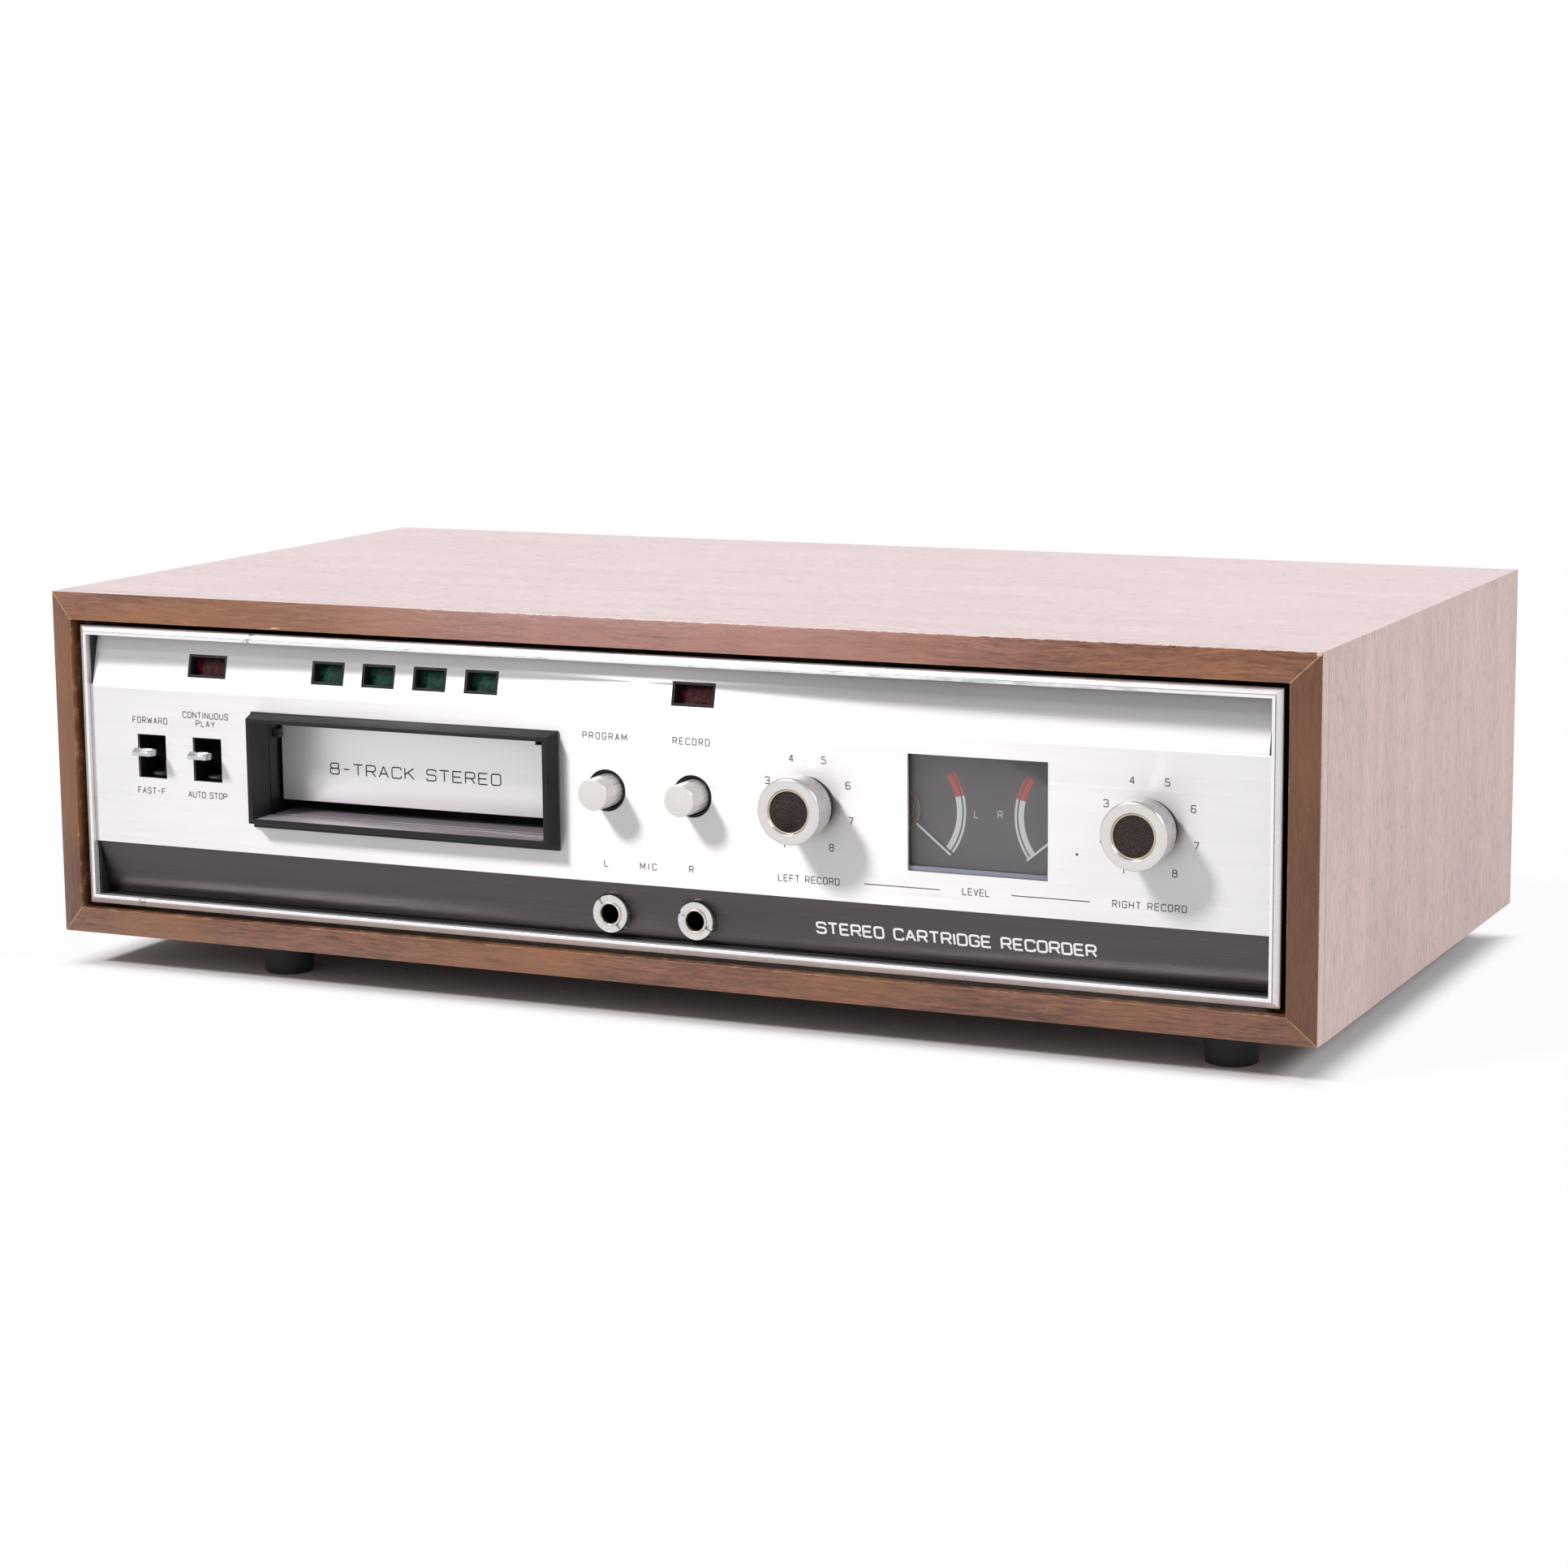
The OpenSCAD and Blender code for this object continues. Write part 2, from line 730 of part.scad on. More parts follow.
module lever_cap(x) {
    color(bright) placed() lever_frame(x)
        rotate([90, 0, 90])
            translate([0, 0, -lever_cap_w / 2])
                linear_extrude(height = lever_cap_w)
                    polygon([
                        [lever_arm_y - eps, -lever_cap_t / 2],
                        [lever_arm_y - lever_cap_d, -lever_cap_t / 2],
                        [lever_arm_y - lever_cap_d, lever_cap_t / 2 - 1.1],
                        [lever_arm_y - lever_cap_d + 1.6, lever_cap_t / 2],
                        [lever_arm_y - eps, lever_cap_t / 2]
                    ]);
}

module tape_lever() {
    lever(tape_lever_x);
}

module play_lever() {
    lever(play_lever_x);
}

module tape_lever_cap() {
    lever_cap(tape_lever_x);
}

module play_lever_cap() {
    lever_cap(play_lever_x);
}

// ---- push buttons ---------------------------------------------------------

stem_r = 2.5;
stem_end_y = 14;

module push_button(x) {
    color(satin) placed() {
        cone_y(x, control_z, button_r, button_r + 0.4, button_front_y, button_back_y);
        rod_y(x, control_z, stem_r, button_back_y - eps, stem_end_y);
    }
}

module program_button() {
    push_button(program_x);
}

module record_button() {
    push_button(record_x);
}

button_body_w = 15;
button_body_end_y = 32;

module button_switches() {
    color(black) placed() for (x = button_xs) difference() {
        union() {
            rod_y(x, control_z, button_hole_r - 0.1, 0, chassis_back_y + 0.2);
            block([x - button_body_w / 2, chassis_back_y + 0.1, control_z - button_body_w / 2],
                  [x + button_body_w / 2, button_body_end_y, control_z + button_body_w / 2]);
        }
        rod_y(x, control_z, collar_in_r, -1, button_back_y + 4);
        rod_y(x, control_z, stem_r + 0.1, 0, stem_end_y + 5);
    }
}

// ---- level knobs ----------------------------------------------------------

knob_front_y = -knob_reach;
knob_back_y = -4.6;
knob_back_r = knob_r - 0.7;
core_r = 6.7;
core_recess = 0.9;
skirt_r = 8.9;
shaft_r = 3;
shaft_end_y = 20;
edge_r = 1.2;

// A quarter round from the knob's side to its face, as [radius, y] points
edge_points = [
    for (a = [0:15:90])
        [knob_r - edge_r + edge_r * cos(a), knob_front_y + edge_r - edge_r * sin(a)]
];

module knob(x) {
    color(satin) placed() translate([x, 0, control_z]) rotate([-90, 0, 0])
        rotate_extrude($fn = 96)
            polygon(concat(
                [[core_r + 0.05, knob_back_y], [knob_back_r, knob_back_y]],
                edge_points,
                [[core_r + 0.45, knob_front_y], [core_r + 0.05, knob_front_y + 0.5]]
            ));
}

module knob_core(x) {
    color(black) placed() difference() {
        union() {
            rod_y(x, control_z, core_r, knob_front_y + core_recess, -1.4);
            rod_y(x, control_z, skirt_r, knob_back_y + eps, -1.4);
        }
        rod_y(x, control_z, shaft_r + eps, knob_front_y + core_recess + 2, 0);
    }
}

module shaft(x) {
    color(steel_tone) placed() difference() {
        rod_y(x, control_z, shaft_r, knob_front_y + core_recess + 2.2, shaft_end_y);
        block([x - 4, knob_front_y, control_z - 0.5], [x + 4, knob_front_y + 6, control_z + 0.5]);
    }
}

module left_knob() {
    knob(left_knob_x);
}

module right_knob() {
    knob(right_knob_x);
}

module left_knob_core() {
    knob_core(left_knob_x);
}

module right_knob_core() {
    knob_core(right_knob_x);
}

module left_shaft() {
    shaft(left_knob_x);
}

module right_shaft() {
    shaft(right_knob_x);
}

pot_r = 12;
pot_bush_r = 4.6;

module level_pots() {
    color(steel_tone) placed() for (x = [left_knob_x, right_knob_x]) difference() {
        union() {
            rod_y(x, control_z, pot_r, chassis_back_y + 0.1, 24);
            rod_y(x, control_z, pot_bush_r, 1, chassis_back_y + 1);
            rod_y(x, control_z, 7, 5.8, chassis_front_y - 0.1);
        }
        rod_y(x, control_z, shaft_r + 0.05, 0, shaft_end_y + 0.5);
    }
}

// ---- level meter ----------------------------------------------------------

meter_front_y = 1.6;
meter_end_y = 30;

module meter_case() {
    color(black) placed() difference() {
        block([meter_mid_x - meter_case_w / 2, meter_front_y, meter_z - meter_case_h / 2],
              [meter_mid_x + meter_case_w / 2, meter_end_y, meter_z + meter_case_h / 2]);
        block([meter_mid_x - meter_case_w / 2 + 1.5, 0, meter_z - meter_case_h / 2 + 1.5],
              [meter_mid_x + meter_case_w / 2 - 1.5, meter_end_y - 1.5, meter_z + meter_case_h / 2 - 1.5]);
    }
    color(steel_tone) placed() for (x = pivot_xs) difference() {
        rod_y(x, meter_z, 4, 16, meter_end_y - 1.4);
        rod_y(x, meter_z, needle_pin_r + 0.05, 15, needle_pin_end_y + 1);
    }
}

meter_mid_x = meter_x + 1.75;

module meter_dial() {
    color([0.14, 0.13, 0.13]) placed() difference() {
        block([meter_mid_x - meter_case_w / 2 + 1.6, dial_y, meter_z - meter_case_h / 2 + 1.6],
              [meter_mid_x + meter_case_w / 2 - 1.6, dial_y + 0.6, meter_z + meter_case_h / 2 - 1.6]);
        for (x = pivot_xs) rod_y(x, meter_z, needle_pin_r + 0.4, dial_y - 1, dial_y + 1);
    }
}

module meter_window() {
    color([0.8, 0.85, 0.9, 0.35]) placed()
        block([meter_mid_x - meter_case_w / 2 + 1.6, meter_front_y, meter_z - meter_case_h / 2 + 1.6],
              [meter_mid_x + meter_case_w / 2 - 1.6, meter_front_y + 1.5,
               meter_z + meter_case_h / 2 - 1.6]);
}

needle_t = 0.4;
needle_w = 0.6;
hub_r = 6.4;
coil_w = 9;
needle_pin_r = 1;
needle_pin_end_y = 19;

// A pointer at rest; side is 1 for the left one, which points right, and -1 for the right one
module needle(x, side) {
    color([0.93, 0.93, 0.90]) placed() {
        translate([x, 0, meter_z]) rotate([0, side * needle_rest, 0])
            block([side > 0 ? 0 : -needle_len, needle_y, -needle_w / 2],
                  [side > 0 ? needle_len : 0, needle_y + needle_t, needle_w / 2]);
        rod_y(x, meter_z, hub_r, needle_y + 0.3, needle_y + 0.9);
        rod_y(x, meter_z, needle_pin_r, needle_y, needle_pin_end_y);
        block([x - coil_w / 2, 9, meter_z - coil_w / 2], [x + coil_w / 2, 15, meter_z + coil_w / 2]);
    }
}

module left_needle() {
    needle(pivot_xs[0], 1);
}

module right_needle() {
    needle(pivot_xs[1], -1);
}

// ---- mic jacks ------------------------------------------------------------

jack_front_y = -0.2;
jack_end_y = 34;

module mic_jacks() {
    color([0.82, 0.78, 0.70]) placed() for (x = button_xs) difference() {
        union() {
            rod_y(x, jack_z, jack_bush_r, jack_front_y, chassis_back_y + 1);
            block([x - 8, chassis_back_y + 0.1, jack_z - 8], [x + 8, jack_end_y, jack_z + 8]);
        }
        rod_y(x, jack_z, jack_bore_r, jack_front_y - 1, jack_end_y - 3);
    }
}

nut_front_y = 0.3;
knurl_count = 36;

module jack_nuts() {
    color(bright) placed() for (x = button_xs) difference() {
        union() {
            rod_y(x, jack_z, nut_r, nut_front_y, 3);
            rod_y(x, jack_z, 5.2, 3 - eps, chassis_front_y - 0.05);
        }
        rod_y(x, jack_z, jack_bush_r + eps, -1, chassis_front_y + 1);
        for (k = [0:knurl_count - 1])
            translate([x, 0, jack_z]) rotate([0, k * 360 / knurl_count, 0])
                translate([nut_r, nut_front_y + 0.6, 0]) rotate([0, 45, 0])
                    translate([-0.2, 0, -0.2]) cube([0.4, 3, 0.4]);
        translate([x, 0, jack_z]) rotate([0, x < 0 ? 52 : 25, 0])
            block([-nut_r - 1, nut_front_y - 1, -0.6], [nut_r + 1, nut_front_y + 0.8, 0.6]);
    }
}

// ---- chassis --------------------------------------------------------------

bearing_hole_r = 7.1;
motor_boss_r = 6;
chassis_top_z = 104.4;
rear_panel_w = 396;
rear_panel_top_z = 100;

module chassis_front_cuts() {
    y0 = chassis_front_y - 1;
    y1 = chassis_back_y + 1;
    block([slot_x - guide_out_w / 2 - 0.3, y0, slot_z],
          [slot_x + guide_out_w / 2 + 0.3, y1, bay_top_z + guide_t + 0.3]);
    for (x = lever_xs)
        block([x - lever_body_w / 2 - 0.2, y0, lever_body_low_z - 0.2],
              [x + lever_body_w / 2 + 0.2, y1, lever_body_top_z + 0.2]);
    for (x = button_xs) {
        rod_y(x, control_z, button_hole_r, y0, y1);
        rod_y(x, jack_z, jack_bush_r + 0.1, y0, y1);
    }
    for (x = [left_knob_x, right_knob_x]) rod_y(x, control_z, pot_bush_r + 0.1, y0, y1);
    block([meter_mid_x - meter_case_w / 2 - 0.3, y0, meter_z - meter_case_h / 2 - 0.3],
          [meter_mid_x + meter_case_w / 2 + 0.3, y1, meter_z + meter_case_h / 2 + 0.3]);
    block([lamp_ends[0] - 1, y0, bend_z - 1], [lamp_ends[1] + 1, y1, chassis_top_z + 1]);
}

module chassis() {
    color(steel_tone) placed() difference() {
        union() {
            block([-chassis_w / 2, chassis_front_y, chassis_low_z],
                  [chassis_w / 2, chassis_rear_y + sheet_t, chassis_low_z + sheet_t]);
            block([-chassis_w / 2, chassis_front_y, chassis_low_z],
                  [chassis_w / 2, chassis_back_y, chassis_top_z]);
            block([-rear_panel_w / 2, chassis_rear_y, chassis_low_z],
                  [rear_panel_w / 2, chassis_rear_y + sheet_t, rear_panel_top_z]);
            block([deck_left_x, chassis_back_y - eps, slot_z - deck_t], [deck_right_x, deck_end_y, slot_z]);
            for (x = [deck_left_x, deck_right_x - deck_t])
                block([x, chassis_back_y - eps, chassis_low_z], [x + deck_t, deck_end_y, slot_z]);
            rod_z(capstan_x, capstan_y, 5, chassis_low_z, chassis_low_z + 3);
            rod_z(head_x, post_y, post_r, slot_z - 1, slot_z + 30);
            rod_z(latch_x, latch_pin_y, latch_pin_r, slot_z - 1, slot_z + 18);
        }
        chassis_front_cuts();
        rod_z(capstan_x, capstan_y, bearing_hole_r, slot_z - deck_t - 1, slot_z + 1);
        rod_z(motor_x, motor_y, motor_boss_r + 0.2, slot_z - deck_t - 1, slot_z + 1);
        socket_window(chassis_rear_y - 1, chassis_rear_y + sheet_t + 1, -4);
        rod_y(cord_x, cord_z, grommet_neck_r + 2, chassis_rear_y - 1, chassis_rear_y + sheet_t + 1);
        back_screw_places() rod_y(0, 0, back_screw_r + 0.15, chassis_rear_y - 1, chassis_rear_y + 3);
        foot_places() rod_z(0, 0, foot_screw_r + 0.15, chassis_low_z - 1, chassis_low_z + sheet_t + 1);
    }
}

// ---- tape drive -----------------------------------------------------------

module capstan_bearing() {
    color(brass_tone) placed() difference() {
        union() {
            rod_z(capstan_x, capstan_y, bearing_hole_r - 0.1, flywheel_z + flywheel_t + 2, slot_z + 2);
            rod_z(capstan_x, capstan_y, 10, slot_z + eps, slot_z + 2);
        }
        rod_z(capstan_x, capstan_y, capstan_r + 0.05, 0, slot_z + 10);
    }
}

module flywheel() {
    color([0.66, 0.64, 0.58]) placed() {
        difference() {
            rod_z(capstan_x, capstan_y, flywheel_r, flywheel_z, flywheel_z + flywheel_t);
            difference() {
                rod_z(capstan_x, capstan_y, flywheel_r - 8, flywheel_z + flywheel_t - 6, flywheel_z + 30);
                rod_z(capstan_x, capstan_y, 12, 0, flywheel_z + 40);
            }
            translate([capstan_x, capstan_y, belt_z - belt_h / 2 - 0.5]) difference() {
                cylinder(r = flywheel_r + 1, h = belt_h + 1);
                translate([0, 0, -1]) cylinder(r = flywheel_r - 1, h = belt_h + 3);
            }
        }
        rod_z(capstan_x, capstan_y, capstan_r, chassis_low_z + 3.2, slot_z + 24);
    }
}

motor_low_z = slot_z + 0.1;
motor_top_z = slot_z + 42;

module motor() {
    color(steel_tone) placed() difference() {
        union() {
            rod_z(motor_x, motor_y, motor_r, motor_low_z, motor_top_z);
            rod_z(motor_x, motor_y, motor_boss_r, slot_z - deck_t - 1, motor_low_z + 1);
        }
        rod_z(motor_x, motor_y, 1.05, 0, motor_top_z - 10);
    }
}

module motor_pulley() {
    color(brass_tone) placed() {
        difference() {
            rod_z(motor_x, motor_y, pulley_r + 1, belt_z - 4, belt_z + 4);
            translate([motor_x, motor_y, belt_z - belt_h / 2 - 0.4]) difference() {
                cylinder(r = pulley_r + 3, h = belt_h + 0.8);
                translate([0, 0, -1]) cylinder(r = pulley_r - eps, h = belt_h + 3);
            }
        }
        rod_z(motor_x, motor_y, 1, belt_z + 3, motor_top_z - 12);
    }
}

// The belt wraps both wheels: straight runs between two arcs
belt_run = norm([motor_x - capstan_x, motor_y - capstan_y]);
belt_angle = atan2(motor_y - capstan_y, motor_x - capstan_x);
belt_big_r = flywheel_r - 1 + 0.15;
belt_small_r = pulley_r + 0.15;

// Outline round both wheels at a distance grow from them, in the wheels' own line
function belt_outline(grow) =
    let (lean_angle = acos((belt_big_r - belt_small_r) / belt_run))
    concat(
        [for (a = [lean_angle:(360 - 2 * lean_angle) / 72:360 - lean_angle + 0.01])
            (belt_big_r + grow) * [cos(a), sin(a)]],
        [for (a = [-lean_angle:2 * lean_angle / 24:lean_angle + 0.01])
            [belt_run, 0] + (belt_small_r + grow) * [cos(a), sin(a)]]
    );

module drive_belt() {
    color(rubber_tone) placed()
        translate([capstan_x, capstan_y, belt_z - belt_h / 2]) rotate([0, 0, belt_angle])
            linear_extrude(height = belt_h) difference() {
                polygon(belt_outline(belt_t));
                polygon(belt_outline(0.05));
            }
}

// ---- head and program change ----------------------------------------------

carriage_low_z = slot_z + 5;
carriage_top_z = slot_z + 22;
head_front_y = 94.5;
finger_low_z = cam_z + cam_low_r + 0.3;

module head_carriage() {
    color([0.75, 0.73, 0.66]) placed() difference() {
        union() {
            rod_z(head_x, post_y, 5.5, carriage_low_z, carriage_top_z);
            block([head_x - 8, 103.6, carriage_low_z], [head_x + 8, post_y, carriage_top_z]);
            block([head_x - 2, post_y, finger_low_z], [head_x + 2, cam_y + 1, finger_low_z + 2.5]);
        }
        rod_z(head_x, post_y, post_r + 0.05, 0, carriage_top_z + 10);
    }
}

module tape_head() {
    color(steel_tone) placed() difference() {
        union() {
            rod_z(head_x, head_front_y + 6, 6, carriage_low_z + 2, carriage_low_z + 15);
            block([head_x - 6, head_front_y + 6, carriage_low_z + 2],
                  [head_x + 6, 103.5, carriage_low_z + 15]);
        }
        block([head_x - 7, 103.5, 0], [head_x + 7, 120, 100]);
    }
}

// Lift of the spiral cam: the radius grows evenly over the sweep, then falls back
cam_fall = 60;

function cam_radius(a) =
    a <= cam_sweep ? cam_low_r + cam_lift * a / cam_sweep
                   : cam_low_r + cam_lift * max(0, 1 - (a - cam_sweep) / cam_fall);

cam_w = 6;
ratchet_r = 9.4;
ratchet_root_r = 7.6;
ratchet_w = 3;
ratchet_teeth = 12;
axle_r = 2;
axle_ends = [head_x - 8, head_x + 12];

module program_cam() {
    color([0.85, 0.83, 0.76]) placed() {
        translate([head_x - cam_w / 2, cam_y, cam_z]) rotate([90, 0, 90])
            linear_extrude(height = cam_w)
                polygon([for (a = [0:6:354]) cam_radius(a) * [sin(a), cos(a)]]);
        translate([head_x + cam_w / 2, cam_y, cam_z]) rotate([90, 0, 90])
            linear_extrude(height = ratchet_w)
                polygon([
                    for (a = [0:360 / ratchet_teeth:359]) each
                        [ratchet_r * [cos(a), sin(a)], ratchet_root_r * [cos(a + 2), sin(a + 2)]]
                ]);
        rod_x(cam_y, cam_z, axle_r, axle_ends[0], axle_ends[1]);
    }
}

solenoid_x = head_x + (cam_w + ratchet_w) / 2;
solenoid_y = 142;
solenoid_end_y = 162;
solenoid_z = cam_z + 8;
plunger_r = 3.5;
bracket_t = 2;

module solenoid() {
    color([0.55, 0.30, 0.16]) placed() difference() {
        union() {
            block([solenoid_x - 9, solenoid_y, slot_z + 0.05],
                  [solenoid_x + 9, solenoid_end_y, solenoid_z + 10]);
            block([axle_ends[0], cam_y - 4, slot_z + 0.05], [axle_ends[1], solenoid_y + 1, cam_z - 10]);
            for (x = [axle_ends[0], axle_ends[1] - bracket_t])
                block([x, cam_y - 4, slot_z + 0.05], [x + bracket_t, cam_y + 4, cam_z + 4]);
        }
        rod_y(solenoid_x, solenoid_z, plunger_r + 0.08, solenoid_y - 1, solenoid_end_y - 2);
        rod_x(cam_y, cam_z, axle_r + 0.05, axle_ends[0] - 1, axle_ends[1] + 1);
    }
}

pawl_z = cam_z + ratchet_r + 0.5;

module solenoid_plunger() {
    color(steel_tone) placed() {
        rod_y(solenoid_x, solenoid_z, plunger_r, solenoid_y - 3, solenoid_end_y - 8);
        block([solenoid_x - 1, cam_y - 2, pawl_z], [solenoid_x + 1, solenoid_y - 3 + eps, pawl_z + 1.4]);
    }
}

// ---- cartridge latch ------------------------------------------------------

latch_low_z = slot_z + 7;
latch_top_z = slot_z + 16;
latch_tip_x = slot_x - slot_w / 2 - 0.6;

module latch_arm() {
    color(steel_tone) placed() difference() {
        union() {
            rod_z(latch_x, latch_pin_y, 3.5, latch_low_z, latch_top_z);
            block([latch_x - 1, latch_y - 1, latch_low_z], [latch_x + 1, latch_pin_y, latch_top_z]);
            block([latch_x, latch_y - 1, latch_low_z], [latch_tip_x, latch_y + 1, latch_top_z]);
            rod_z(latch_tip_x, latch_y, 2.5, latch_low_z, latch_top_z);
        }
        rod_z(latch_x, latch_pin_y, latch_pin_r + 0.05, 0, 100);
    }
}

// ---- electronics ----------------------------------------------------------

module transformer() {
    color([0.35, 0.35, 0.36]) placed() {
        difference() {
            block([128, 150, 12.5], [184, 196, 62]);
            for (s = [0, 1]) block([134 + s * 28, 149, 20], [154 + s * 28 - 2, 197, 54]);
        }
        block([134, 144, 20.5], [178, 202, 53.5]);
        block([122, 160, chassis_low_z + sheet_t + eps], [190, 186, 12.6]);
    }
}

board_z = 24;
capacitor_places = [[80, 60, 6, 22], [98, 62, 8, 30], [120, 58, 5, 18], [84, 104, 5, 14], [150, 66, 8, 30],
                    [176, 70, 6, 24], [132, 110, 4, 16], [168, 112, 5, 20]];

module main_board() {
    color([0.50, 0.36, 0.18]) placed() {
        block([64, 44, board_z], [194, 136, board_z + 1.6]);
        for (c = capacitor_places) rod_z(c[0], c[1], c[2], board_z + 1.5, board_z + c[3]);
        for (x = [70, 188], y = [50, 130]) rod_z(x, y, 3, chassis_low_z + sheet_t + eps, board_z + 0.1);
    }
}

// ---- rear sockets ---------------------------------------------------------

socket_margin = 11;

module socket_window(y0, y1, grow) {
    block([socket_xs[0] - socket_margin - grow, y0, socket_z - 10 - grow / 2],
          [socket_xs[3] + socket_margin + grow, y1, socket_z + 10 + grow / 2]);
}

socket_y = back_y + back_t;

module phono_sockets() {
    color([0.70, 0.70, 0.72]) placed() difference() {
        union() {
            block([socket_xs[0] - socket_margin - 4, chassis_rear_y - 1.6, socket_z - 13],
                  [socket_xs[3] + socket_margin + 4, chassis_rear_y - 0.1, socket_z + 13]);
            for (x = socket_xs) {
                rod_y(x, socket_z, socket_r, chassis_rear_y - 1, socket_y + 7);
                rod_y(x, socket_z, 6, chassis_rear_y - 1, chassis_rear_y + 2);
            }
        }
        for (x = socket_xs) rod_y(x, socket_z, 1.6, chassis_rear_y, socket_y + 8);
    }
}

// ---- the whole deck -------------------------------------------------------

cabinet_top();
cabinet_bottom();
cabinet_left();
cabinet_right();
front_lipping();
back_panel();
back_screws();
cord_grommet();
feet();
foot_screws();
trim_rim();
fascia_frame();
fascia_panel();
lower_band();
lamp_housing();
red_lenses();
program_lenses();
lamp_board();
cartridge_bezel();
cartridge_door();
door_pin();
door_spring();
cartridge_guide();
switch_bodies();
tape_lever();
tape_lever_cap();
play_lever();
play_lever_cap();
program_button();
record_button();
button_switches();
left_knob();
left_knob_core();
left_shaft();
right_knob();
right_knob_core();
right_shaft();
level_pots();
meter_case();
meter_dial();
meter_window();
left_needle();
right_needle();
mic_jacks();
jack_nuts();
chassis();
capstan_bearing();
flywheel();
motor();
motor_pulley();
drive_belt();
head_carriage();
tape_head();
program_cam();
solenoid();
solenoid_plunger();
latch_arm();
transformer();
main_board();
phono_sockets();
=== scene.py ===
"""Looks of the walnut cased 8 track cartridge recorder: finishes, print, dial, camera and light."""

import json
import math

import bpy
from mathutils import Matrix, Vector

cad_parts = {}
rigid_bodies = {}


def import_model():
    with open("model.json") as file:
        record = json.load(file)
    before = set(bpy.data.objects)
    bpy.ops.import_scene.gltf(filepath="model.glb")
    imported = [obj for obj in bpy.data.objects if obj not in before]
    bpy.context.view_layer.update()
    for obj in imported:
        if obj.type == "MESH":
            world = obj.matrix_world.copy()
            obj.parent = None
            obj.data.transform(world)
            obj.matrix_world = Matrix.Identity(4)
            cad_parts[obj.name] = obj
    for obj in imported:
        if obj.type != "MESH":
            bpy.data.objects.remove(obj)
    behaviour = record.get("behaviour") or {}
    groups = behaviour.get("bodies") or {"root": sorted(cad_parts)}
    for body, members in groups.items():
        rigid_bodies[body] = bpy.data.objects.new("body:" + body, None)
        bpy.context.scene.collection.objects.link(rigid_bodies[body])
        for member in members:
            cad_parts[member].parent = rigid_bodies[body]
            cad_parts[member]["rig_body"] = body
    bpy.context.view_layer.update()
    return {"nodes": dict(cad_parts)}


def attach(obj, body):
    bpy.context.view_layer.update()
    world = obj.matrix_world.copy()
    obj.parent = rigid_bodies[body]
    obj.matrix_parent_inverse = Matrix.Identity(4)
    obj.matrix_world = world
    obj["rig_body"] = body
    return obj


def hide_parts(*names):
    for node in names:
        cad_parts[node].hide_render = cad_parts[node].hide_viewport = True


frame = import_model()
scene = bpy.context.scene

MM = 0.001
# The cabinet's front edge and underside in the part's frame, in millimetres
FRONT_Y = -107.25
UNDER_Z = 12.0
CABINET_W = 440.0
CABINET_H = 116.0
CABINET_D = 230.0
BOARD = 9.0
SLOT_X = -84.95
CONTROL_Z = 61.5
# The front panel's face, and the height where it bends back
PANEL_Y = -0.7
BEND_Z = 85.3


def place(x, y, z):
    """A point given in millimetres from the cabinet's middle, front edge and underside."""
    return Vector((x, y + FRONT_Y, z + UNDER_Z)) * MM


# ---- finishes ---------------------------------------------------------------


# The sockets of a mix node that mixes colours
MIX_FACTOR = 0
MIX_FIRST = 6
MIX_SECOND = 7
MIX_RESULT = 2


class Wire:
    """A value in a finish, so that sums of values can be written as sums."""

    def __init__(self, finish, socket):
        self.finish = finish
        self.socket = socket

    def math(self, operation, *others, clamp=False):
        values = [self.socket] + [getattr(o, "socket", o) for o in others]
        return self.finish.node(
            "ShaderNodeMath",
            {"operation": operation, "use_clamp": clamp},
            dict(enumerate(values)),
        )

    def __add__(self, other):
        return self.math("ADD", other)

    def __sub__(self, other):
        return self.math("SUBTRACT", other)

    def __mul__(self, other):
        return self.math("MULTIPLY", other)

    def __truediv__(self, other):
        return self.math("DIVIDE", other)

    def __gt__(self, other):
        return self.math("GREATER_THAN", other)

    def __lt__(self, other):
        return self.math("LESS_THAN", other)

    def __rsub__(self, other):
        return self.math("MULTIPLY", -1.0) + other

    def __abs__(self):
        return self.math("ABSOLUTE")

    def larger(self, other):
        return self.math("MAXIMUM", other)

    def smaller(self, other):
        return self.math("MINIMUM", other)

    def clamped(self):
        return self.math("ADD", 0.0, clamp=True)

    def ramp(self, low, high):
        """0 below low, 1 above high and a smooth step between them."""
        return self.finish.node(
            "ShaderNodeMapRange",
            {"interpolation_type": "SMOOTHSTEP"},
            {"Value": self, "From Min": low, "From Max": high},
        )


